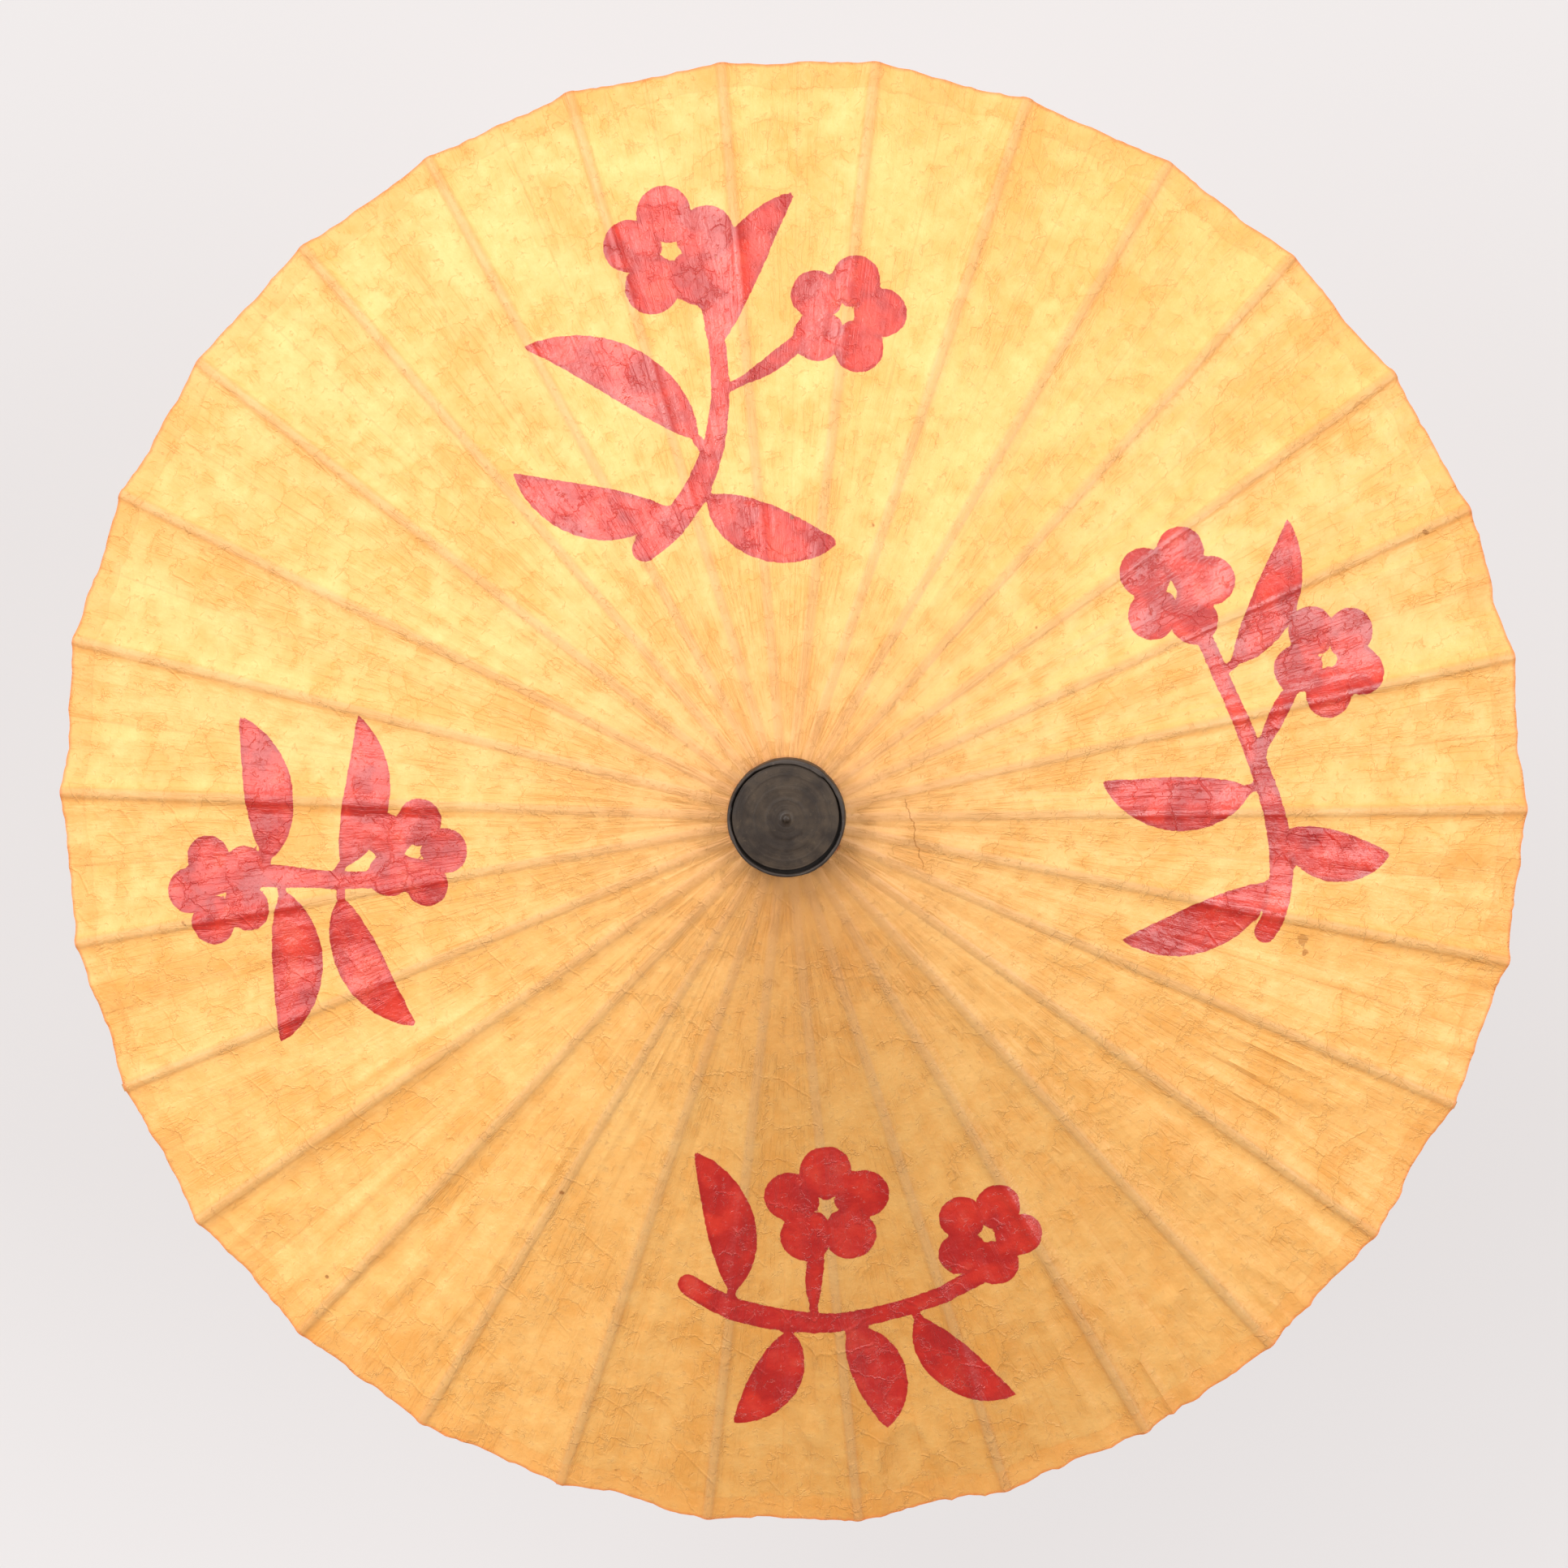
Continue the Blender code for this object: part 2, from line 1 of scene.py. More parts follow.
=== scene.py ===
"""Open oiled-paper umbrella with painted sprays, seen from above.

The shaft stands on the Z axis with the handle's foot at z = 0. Rib 1 points along +X and the
others follow anticlockwise. Sizes are in millimetres unless a comment says otherwise; MM takes
them to metres.
"""
import json
import math
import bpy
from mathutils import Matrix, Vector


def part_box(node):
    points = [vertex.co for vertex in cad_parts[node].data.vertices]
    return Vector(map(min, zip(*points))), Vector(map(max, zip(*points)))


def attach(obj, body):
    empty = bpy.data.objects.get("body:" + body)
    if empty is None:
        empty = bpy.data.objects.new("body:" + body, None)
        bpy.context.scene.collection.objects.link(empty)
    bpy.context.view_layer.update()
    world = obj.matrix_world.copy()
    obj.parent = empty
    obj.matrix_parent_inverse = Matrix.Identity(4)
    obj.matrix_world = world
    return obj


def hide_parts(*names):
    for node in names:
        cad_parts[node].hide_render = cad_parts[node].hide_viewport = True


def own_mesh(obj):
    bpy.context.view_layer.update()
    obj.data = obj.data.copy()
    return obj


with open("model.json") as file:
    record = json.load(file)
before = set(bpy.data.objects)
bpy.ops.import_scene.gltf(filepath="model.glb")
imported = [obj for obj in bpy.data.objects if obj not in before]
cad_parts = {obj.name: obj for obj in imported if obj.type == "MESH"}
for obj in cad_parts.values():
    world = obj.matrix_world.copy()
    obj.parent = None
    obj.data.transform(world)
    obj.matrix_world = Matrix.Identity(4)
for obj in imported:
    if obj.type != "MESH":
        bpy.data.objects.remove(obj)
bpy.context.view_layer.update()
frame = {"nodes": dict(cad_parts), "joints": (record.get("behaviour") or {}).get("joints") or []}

from types import SimpleNamespace

import bmesh
import bpy
import numpy as np
from mathutils import Matrix, Vector

MM = 0.001
RIBS = 30
RIB_STEP = 2 * math.pi / RIBS
rng = np.random.default_rng(41)

# ------------------------------------------------------------------ sizes from the frame
joints = {joint["name"]: joint for joint in frame["joints"]}
fold = joints["canopy_fold"]["pos_m"]
PIVOT_RADIUS = math.hypot(fold[0], fold[1]) / MM
PIVOT_Z = fold[2] / MM
hinge = joints["stretcher_01_hinge"]["pos_m"]
HINGE_ALONG = math.hypot(hinge[0] / MM - PIVOT_RADIUS, hinge[2] / MM - PIVOT_Z)
SLOPE = math.asin((PIVOT_Z - hinge[2] / MM) / HINGE_ALONG)
COS_SLOPE, SIN_SLOPE = math.cos(SLOPE), math.sin(SLOPE)
RIM_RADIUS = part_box("canopy")[1].x / MM
RIB_TOP = 3.75                  # top of the paper above the rib's pivot line
PAPER_START = 5.4               # along the rib from its pivot
PAPER_END = (RIM_RADIUS - PIVOT_RADIUS - RIB_TOP * SIN_SLOPE) / COS_SLOPE

# directions in the XY plane that are up and right in the camera's view
VIEW_UP_AZIMUTH = math.radians(-89.4)
VIEW_UP = np.array([math.cos(VIEW_UP_AZIMUTH), math.sin(VIEW_UP_AZIMUTH)])
VIEW_RIGHT = np.array([math.sin(VIEW_UP_AZIMUTH), -math.cos(VIEW_UP_AZIMUTH)])


def unit(vectors):
    return vectors / np.linalg.norm(vectors, axis=-1, keepdims=True)


def clamp(value):
    return np.clip(value, 0, 1)


def rise(value, start, length):
    """0 up to start, 1 beyond start + length."""
    return clamp((value - start) / length)


def fall(value, start, length):
    """1 up to start, 0 beyond start + length."""
    return clamp(1 - (value - start) / length)


def on_canopy(right_share, up_share):
    """x and y of a place given in shares of the rim's radius, right and up in the view."""
    return (VIEW_RIGHT * right_share + VIEW_UP * up_share) * RIM_RADIUS


def downward(points, turn=0.0):
    """Distance from the shaft toward the bottom of the view, turned by some radians."""
    azimuth = VIEW_UP_AZIMUTH + turn
    return -(points[..., 0] * math.cos(azimuth) + points[..., 1] * math.sin(azimuth))


def rib_frame(i):
    """Pivot, outward, sideways and paper-side directions of rib i."""
    angle = i * RIB_STEP
    radial = np.array([math.cos(angle), math.sin(angle), 0.0])
    sideways = np.array([-math.sin(angle), math.cos(angle), 0.0])
    vertical = np.array([0.0, 0.0, 1.0])
    outward = COS_SLOPE * radial - SIN_SLOPE * vertical
    normal = SIN_SLOPE * radial + COS_SLOPE * vertical
    return radial * PIVOT_RADIUS + vertical * PIVOT_Z, outward, sideways, normal


def rib_point(i, along, side, height):
    pivot, outward, sideways, normal = rib_frame(i)
    along, side, height = np.broadcast_arrays(np.asarray(along, float), side, height)
    point = pivot + along[..., None] * outward
    return point + side[..., None] * sideways + height[..., None] * normal


# ------------------------------------------------------------------ noise
def noise2(x, y, seed, wrap=None):
    """Smooth value noise of two coordinates. wrap repeats x after that many cells."""
    size = 512
    table = np.random.default_rng(seed).uniform(-1, 1, (size, size))
    x, y = np.asarray(x, float), np.asarray(y, float)
    cell_x, cell_y = np.floor(x).astype(int), np.floor(y).astype(int)
    x, y = x - cell_x, y - cell_y
    x, y = x * x * (3 - 2 * x), y * y * (3 - 2 * y)
    period = wrap or size
    x0, x1 = np.mod(cell_x, period) % size, np.mod(cell_x + 1, period) % size
    y0, y1 = np.mod(cell_y, size), np.mod(cell_y + 1, size)
    low = table[x0, y0] * (1 - x) + table[x1, y0] * x
    high = table[x0, y1] * (1 - x) + table[x1, y1] * x
    return low * (1 - y) + high * y


def ring_noise(turn, cells, y, seed, shift=0.0):
    """Noise that closes round the canopy; turn counts gores, each holding `cells` cells."""
    return noise2(turn * cells + shift, y, seed, wrap=round(cells * RIBS))


def ridged(noise):
    return 1 - 2 * np.abs(noise)


def fbm(points, size, octaves, seed, offset=(0, 0)):
    """Layered noise of the points' x and y; size is the largest cell."""
    x, y = points[..., 0] + offset[0], points[..., 1] + offset[1]
    total, weight = 0.0, 0.0
    for k in range(octaves):
        gain = 0.55**k
        layer = noise2(x / size * 2**k + 37.1 * k, y / size * 2**k + 11.9 * k, seed + k)
        total = total + gain * layer
        weight += gain
    return total / weight


# ------------------------------------------------------------------ painted sprays
# centre: shares of the rim's radius, right and up in the view. The rest is in mm about it.
# stem: Bezier points; stem_width: brush radius at its start and end
# blossoms: centre, radius, turn in radians
# leaves: share along the stem, tip, bend as a share of the length, brush radius
SPRAYS = [
    {   # tall, with two blossoms
        "centre": (-0.1061947, 0.5796460),
        "stem": ((-34, -100), (8, -70), (20, -10), (-10, 66)), "stem_width": (7.0, 5.0),
        "blossoms": [((-22, 66), 38, 0.5), ((76, 30), 34, 1.3)],
        "leaves": [
            (0.22, (-108, -58), 0.18, 14.5), (0.40, (-104, 12), -0.18, 15.0),
            (0.30, (72, -96), -0.16, 15.0), (0.62, (66, 34), -0.10, 5.0),
            (0.70, (48, 100), 0.16, 13.0),
        ],
    },
    {   # leaning
        "centre": (0.6106195, 0.0907080),
        "stem": ((10, -108), (40, -56), (-16, 20), (-40, 92)), "stem_width": (6.5, 5.0),
        "blossoms": [((-42, 84), 34, 0.2), ((46, 44), 33, 0.9)],
        "leaves": [
            (0.50, (34, 38), 0.1, 5.0), (0.20, (-72, -110), 0.16, 14.0),
            (0.34, (82, -66), -0.18, 14.5), (0.46, (-84, -22), 0.18, 15.0),
            (0.74, (22, 122), -0.16, 13.0),
        ],
    },
    {   # low
        "centre": (0.0796460, -0.6360619),
        "stem": ((-90, -4), (-40, -40), (30, -30), (86, 10)), "stem_width": (6.5, 5.5),
        "blossoms": [((-12, 44), 36, 0.35), ((78, 26), 31, 0.0)],
        "leaves": [
            (0.42, (-14, 34), 0.06, 5.0), (0.14, (-86, 76), -0.16, 14.0),
            (0.34, (-66, -88), 0.18, 14.0), (0.50, (22, -92), 0.16, 15.0),
            (0.72, (96, -72), -0.18, 14.0),
        ],
    },
    {   # lying on its side
        "centre": (-0.6338496, -0.1017699),
        "stem": ((-66, -6), (-30, 14), (20, -10), (56, 10)), "stem_width": (6.5, 5.0),
        "blossoms": [((-56, -6), 32, 0.7), ((58, 18), 31, 0.1)],
        "leaves": [
            (0.30, (-44, 92), -0.16, 14.5), (0.62, (26, 94), -0.18, 13.5),
            (0.36, (-22, -92), 0.16, 15.0), (0.66, (58, -80), -0.18, 14.0),
        ],
    },
]
SPRAY_REACH = 185
FAR_FROM_PAINT = 60.0
PETALS = 5


def bezier(controls, count):
    t = np.linspace(0, 1, count)[:, None]
    p0, p1, p2, p3 = (np.asarray(point, float) for point in controls)
    return (1 - t) ** 3 * p0 + 3 * (1 - t) ** 2 * t * p1 + 3 * (1 - t) * t * t * p2 + t**3 * p3


def stem_stroke(path, start, end):
    t = np.linspace(0, 1, 70)
    return bezier(path, 70), start * (1 - t) + end * t + 0.7 * np.sin(7 * t)


def leaf_stroke(base, tip, bend, width):
    """A pointed oval leaf on a short stalk."""
    reach = np.asarray(tip, float) - base
    bulge = np.array([-reach[1], reach[0]]) * bend
    t = np.linspace(0, 1, 60)
    points = bezier((base, base + reach * 0.33 + bulge, base + reach * 0.70 + bulge, tip), 60)
    oval = width * np.sin(np.pi * rise(t, 0.10, 0.90) ** 0.85) ** 0.85
    return points, np.maximum(oval, np.where(t < 0.3, 2.6, 0.15))


def petal_stroke(centre, radius, angle):
    direction = np.array([math.cos(angle), math.sin(angle)])
    t = np.linspace(0, 1, 14)
    points = np.asarray(centre, float) + direction * (radius * (0.20 + 0.40 * t))[:, None]
    return points, radius * (0.06 + 0.34 * t**0.8)


def spray_strokes(spray):
    """Every brush stroke of a spray as (points, brush radii)."""
    strokes = [stem_stroke(spray["stem"], *spray["stem_width"])]
    for centre, radius, turn in spray["blossoms"]:
        for k in range(PETALS):
            strokes.append(petal_stroke(centre, radius, turn + k * 2 * math.pi / PETALS))
    stem = bezier(spray["stem"], 101)
    for share, tip, bend, width in spray["leaves"]:
        strokes.append(leaf_stroke(stem[int(round(100 * share))], tip, bend, width))
    return strokes


PAINTED = [(on_canopy(*spray["centre"]), spray_strokes(spray)) for spray in SPRAYS]


def paint_distance(points):
    """Distance from the painted marks, below zero inside, for rows of points."""
    best = np.full(len(points), FAR_FROM_PAINT)
    for centre, strokes in PAINTED:
        offset = points[:, :2] - centre
        local = np.stack([offset @ VIEW_RIGHT, offset @ VIEW_UP], axis=1)
        close = np.hypot(local[:, 0], local[:, 1]) < SPRAY_REACH
        if not close.any():
            continue
        for path, radii in strokes:
            gap = local[close][:, None, :] - path[None]
            reach = np.sqrt((gap**2).sum(-1)) - radii[None]
            best[close] = np.minimum(best[close], reach.min(1))
    return best


# ------------------------------------------------------------------ the paper's surface
HALF_STRIP = 2.8                # half the width of the paper strip that lies on a rib
ROWS = 150
COLUMNS = 15                    # across half a gore
PAPER_THICKNESS = 0.28
ROW_ALONG = PAPER_START + (PAPER_END - PAPER_START) * (np.linspace(0, 1, ROWS + 1) ** 0.95)

# what differs from rib to rib and gore to gore
rib_dip = rng.uniform(-1, 1, RIBS)
gore_sag = rng.uniform(0.4, 1.0, RIBS)
gore_crease = rng.uniform(0.35, 1.0, RIBS)
tip_out = rng.normal(0, 0.9, RIBS)


def paper_share(along):
    """0 where the paper starts, 1 at its rim."""
    return (along - PAPER_START) / (PAPER_END - PAPER_START)


def rim_reach(share):
    """How strongly the rim's unevenness pulls the paper."""
    return rise(share, 0.8, 0.2) ** 2


def edge_height(along):
    """Height of the paper where it leaves the rib's rounded top."""
    return 3.36 - 0.36 * rise(along, 40.0, 350.0) ** 0.7


def dip(along, distance, i):
    """How far the paper drops below that at a distance from the edge of rib i."""
    inner = 0.09 + 0.14 * rib_dip[i % RIBS]
    outer = 1.22 + 0.22 * rib_dip[(7 * i + 3) % RIBS]
    depth = inner + outer * rise(along, 90.0, 260.0) ** 0.9
    return np.maximum(depth, 0) * (1 - np.exp(-distance / 2.7))


def lowness(points):
    """1 at the bottom of the view, 0 at its top."""
    return clamp(0.5 + downward(points) / 500.0)


def rim_shift(i, across):
    """How far the rim stands beyond or behind the straight line from tip to tip."""
    turn = i + across
    wave = 1.1 * ring_noise(turn, 3.1, 7.3, seed=61) + 0.8 * ring_noise(turn, 8.0, 3.1, seed=62)
    wave = wave + 0.45 * ring_noise(turn, 19.0, 9.1, seed=63)
    tips = tip_out[i % RIBS] * (1 - across) + tip_out[(i + 1) % RIBS] * across
    return tips + wave * np.sin(np.pi * clamp(across)) ** 0.5


def rib_side_creases(i, share, from_rib, from_next):
    """Sharp creases beside the ribs, three on each side of a gore."""
    total = 0.0
    for k, (distance, seed) in enumerate(((from_rib, 2 * i), (from_next, 2 * (i + 1) + 1))):
        draw = np.random.default_rng(7000 + seed % (2 * RIBS))
        # distance from the rib's edge at the rim, half width
        creases = (
            (draw.uniform(4.5, 8), 1.0),
            (draw.uniform(9, 15), 1.3),
            (draw.uniform(16, 27), 1.9),
        )
        for rim_place, half_width in creases:
            wander = 1.6 * noise2(share * 5.0 + seed, 0.5, 81 + k)
            place = rim_place * (0.35 + 0.65 * share) + wander
            patches = clamp(0.30 + 1.2 * noise2(share * 3.2 + 5.0 * seed, rim_place, 83 + k))
            power = patches * rise(share, 0.22, 0.3)
            height = draw.choice([-1.0, 1.0]) * draw.uniform(0.22, 0.60)
            total = total + height * power * np.exp(-(((distance - place) / half_width) ** 2))
    return total


def soft_folds(turn, share):
    """Folds that run with the ribs: one broad wave, and finer ridges in patches."""
    warp = 0.35 * ring_noise(turn, 1.5, share * 3.0, seed=71)
    broad = ring_noise(turn, 2.5, share * 1.6, seed=72, shift=warp)
    middle = ridged(ring_noise(turn, 4.0, share * 2.6 + 3.3, seed=73, shift=1.4 * warp))
    narrow = ridged(ring_noise(turn, 9.0, share * 4.0, seed=77, shift=2.0 * warp))
    patch = clamp(0.55 + 0.9 * ring_noise(turn, 0.9, share * 2.2, seed=79))
    ridges = 1.05 * np.maximum(middle, 0) ** 3 + 0.42 * np.maximum(narrow, 0) ** 2
    return 1.15 * broad + patch * ridges


def wrinkles(points, turn, share, strength):
    """Cross creases and crumpling, and puckers toward the rim."""
    cross = fbm(points, size=26.0, octaves=3, seed=300)
    small = fbm(points, size=9.0, octaves=2, seed=340)
    x, y = points[..., 0] + 9 * cross, points[..., 1] - 9 * small
    raised = np.maximum(ridged(noise2(x / 21.0, y / 21.0, seed=345)), 0) ** 5
    sunk = np.maximum(ridged(noise2(x / 14.0 + 40, y / 14.0, seed=346)), 0) ** 6
    patches = 0.15 + 1.2 * fbm(points, size=70.0, octaves=2, seed=347)
    crumple = (raised - 0.7 * sunk) * clamp(patches + 0.5 * rise(share, 0.7, 0.3))
    pucker = ring_noise(turn, 11.0, share * 3.0, seed=76) * rise(share, 0.88, 0.12)
    fine_pucker = ring_noise(turn, 26.0, share * 30.0, seed=78) * rise(share, 0.92, 0.08)
    height = 0.60 * strength * cross + 0.16 * small + 0.42 * strength * crumple
    return height + 0.75 * pucker + 0.40 * fine_pucker


def web_surface(i, across):
    """Top surface of gore i at shares across it: points, along, across and width grids."""
    next_rib = (i + 1) % RIBS
    along, across = np.meshgrid(ROW_ALONG, across, indexing="ij")
    share = paper_share(along)
    reach = along + rim_shift(i, across) * rim_reach(share)
    rib_edge = rib_point(i, reach, HALF_STRIP, edge_height(along))
    next_edge = rib_point(next_rib, reach, -HALF_STRIP, edge_height(along))
    base = rib_edge * (1 - across[..., None]) + next_edge * across[..., None]
    normal = unit(rib_frame(i)[3] + rib_frame(next_rib)[3])
    width = np.linalg.norm(next_edge - rib_edge, axis=-1)
    turn = np.mod(i + across, RIBS)
    tent = 1 - np.abs(2 * across - 1)      # 0 at the ribs, 1 midway between them
    sag = -(0.022 * width) * gore_sag[i] * 4 * across * (1 - across)
    crease = -(0.013 * width) * gore_crease[i] * tent**1.6
    fade = clamp(tent * 3.0)
    from_rib, from_next = across * width, (1 - across) * width
    drop = dip(along, from_rib, i) * (1 - across) + dip(along, from_next, i + 1) * across
    low = lowness(base)
    strength = np.clip(width / 55.0, 0.03, 1.2)
    hem = fall(np.abs((PAPER_END - along) - 15.0), 0, 3.0)
    height = sag + crease - drop
    height = height + (0.55 + 0.75 * low) * rib_side_creases(i, share, from_rib, from_next)
    height = height + fade * strength * (0.45 + 1.25 * low) * soft_folds(turn, share)
    height = height + fade * wrinkles(base, turn, share, strength) + 0.12 * hem * fade
    return base + height[..., None] * normal, along, across, width


# half the section of the paper over a rib: sideways, share of the rise from edge to top
STRIP_SECTION = np.array([
    (0, 1.0), (0.62, 0.97), (1.2, 0.86), (1.7, 0.66), (2.25, 0.36), (HALF_STRIP, 0.0),
])


def strip_surface(i):
    """Top surface over rib i: points, along and sideways grids."""
    half_side, half_lift = STRIP_SECTION.T
    side = np.concatenate([-half_side[:0:-1], half_side])
    lift = np.concatenate([half_lift[:0:-1], half_lift])
    along, side = np.meshgrid(ROW_ALONG, side, indexing="ij")
    edge = edge_height(along)
    height = edge + (RIB_TOP - edge) * lift
    bump = 0.10 * noise2(along / 9.0 + 13.7 * i, side * 0.3, seed=81)
    bump = bump + 0.07 * noise2(along / 3.2 + 5.1 * i, side * 0.8, seed=82)
    calm = fall(np.abs(side), 0, HALF_STRIP) ** 0.5
    reach = along + tip_out[i] * rim_reach(paper_share(along))
    return rib_point(i, reach, side, height + bump * calm), along, side


def grid_normals(points):
    normals = unit(np.cross(np.gradient(points, axis=0), np.gradient(points, axis=1)))
    return np.where(normals[..., 2:3] < 0, -normals, normals)


def shell(name, top, attributes):
    """A closed thin shell below the grid `top` (rows, columns, 3), with point attributes."""
    normals = grid_normals(top)
    rows, columns = top.shape[:2]
    bottom = top - normals * PAPER_THICKNESS
    points = np.concatenate([top.reshape(-1, 3), bottom.reshape(-1, 3)]) * MM
    count = rows * columns
    index = np.arange(count).reshape(rows, columns)
    corners = [index[:-1, :-1], index[1:, :-1], index[1:, 1:], index[:-1, 1:]]
    upper = np.stack(corners, -1).reshape(-1, 4)
    lower = upper[:, ::-1] + count
    border = np.concatenate([index[:-1, 0], index[-1, :-1], index[:0:-1, -1], index[0, :0:-1]])
    after = np.roll(border, -1)
    wall = np.stack([after, border, border + count, after + count], -1)
    mesh = bpy.data.meshes.new(name)
    mesh.from_pydata(points.tolist(), [], np.concatenate([upper, lower, wall]).tolist())
    # the upper faces should point to the paper's outside
    mesh.update()
    outside = Vector(normals.reshape(-1, 3)[count // 2])
    if Vector(mesh.polygons[len(upper) // 2].normal).dot(outside) < 0:
        mesh.flip_normals()
    mesh.shade_smooth()
    mesh.set_sharp_from_angle(angle=math.radians(55))
    for key, value in attributes.items():
        both = np.concatenate([value.reshape(count, -1)] * 2)
        kind, field = ("FLOAT", "value") if both.shape[1] == 1 else ("FLOAT_VECTOR", "vector")
        attribute = mesh.attributes.new(key, kind, "POINT")
        attribute.data.foreach_set(field, both.astype(np.float32).ravel())
    obj = bpy.data.objects.new(name, mesh)
    bpy.context.scene.collection.objects.link(obj)
    return obj


def tones(points, along):
    """Slow colour changes of the sheet: oil mottle, clouds, nearness to the cap."""
    radius = np.hypot(points[..., 0], points[..., 1])
    turn = np.mod(np.arctan2(points[..., 1], points[..., 0]) / RIB_STEP, RIBS)
    mottle = 0.5 + 0.34 * fbm(points, size=24.0, octaves=2, seed=500)
    mottle = mottle + 0.48 * fbm(points, size=8.5, octaves=3, seed=505)
    mottle = mottle + 0.22 * fbm(points, size=60.0, octaves=2, seed=520)
    mottle = mottle + 0.16 * ring_noise(turn, 5.0, along / 90.0, seed=530)
    cloud = fbm(points, size=44.0, octaves=3, seed=540, offset=(300, -170)) * 1.5 - 0.22
    return np.stack([clamp(mottle), clamp(cloud), fall(radius, 34.0, 150.0) ** 1.5], -1)


def darkening_toward_bottom(points):
    """How much darker the colour is made: most toward the bottom of the view, and a little near
    the cap.
    """
    radius = np.hypot(points[..., 0], points[..., 1]) + 1e-6
    toward = rise(downward(points, turn=0.20) / radius, 0.05, 0.95) ** 3.5
    return toward * (0.72 + 0.28 * rise(radius, 0, 200.0)) + 0.10 * fall(radius, 0, 130.0)


def sheet_attributes(points, along, turn, rib_distance, middle_distance):
    """What the paper's material reads; turn is the position round the canopy in gores."""
    angle = turn * RIB_STEP
    return {
        "rest": points * MM,
        "polar": np.stack([np.cos(angle), np.sin(angle), paper_share(along)], -1),
        "rib_t": rib_distance,
        "mid_d": middle_distance,
        "rim_d": PAPER_END - along,
        "paint_d": paint_distance(points.reshape(-1, 3)),
        "tone": tones(points, along),
        "foot_d": np.hypot(points[..., 0], points[..., 1]) - 31.5,
        # how much darker the colour is made toward the bottom of the view and near the cap
        "age": darkening_toward_bottom(points),
    }


def finish_paper(obj, rib, material):
    obj.data.materials.append(material)
    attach(obj, f"rib_{rib + 1:02d}_body")


def half_gore(i, letter, across, material):
    """Half of gore i: "a" goes with rib i, "b" with the next rib."""
    top, along, across, width = web_surface(i, across)
    if letter == "a":
        rib, sign, share = i, 1, across
    else:
        rib, sign, share = (i + 1) % RIBS, -1, 1 - across
    middle = np.abs(across - 0.5) * width
    attributes = sheet_attributes(top, along, i + across, share * width + HALF_STRIP, middle)
    obj = shell(f"paper_{i + 1:02d}_{letter}", top, attributes)
    finish_paper(obj, rib, material)
    anchor = rib_point(rib, 200.0, sign * HALF_STRIP, 2.2)
    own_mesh(obj)
    return obj


def rib_strip(i, material):
    top, along, side = strip_surface(i)
    rib_gap = 2 * (PIVOT_RADIUS + along * COS_SLOPE) * math.sin(RIB_STEP / 2)
    turn = i + side / np.maximum(rib_gap, 5)
    middle = np.full(along.shape, 60.0)    # beyond the reach of the middle fold
    attributes = sheet_attributes(top, along, turn, np.abs(side), middle)
    obj = shell(f"paper_over_rib_{i + 1:02d}", top, attributes)
    finish_paper(obj, i, material)


def build_canopy(material):
    half = 0.5 * np.linspace(0, 1, COLUMNS) ** 1.35
    first = None
    for i in range(RIBS):
        piece = half_gore(i, "a", half, material)
        first = first or piece
        half_gore(i, "b", 1 - half[::-1], material)
        rib_strip(i, material)
    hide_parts("canopy")


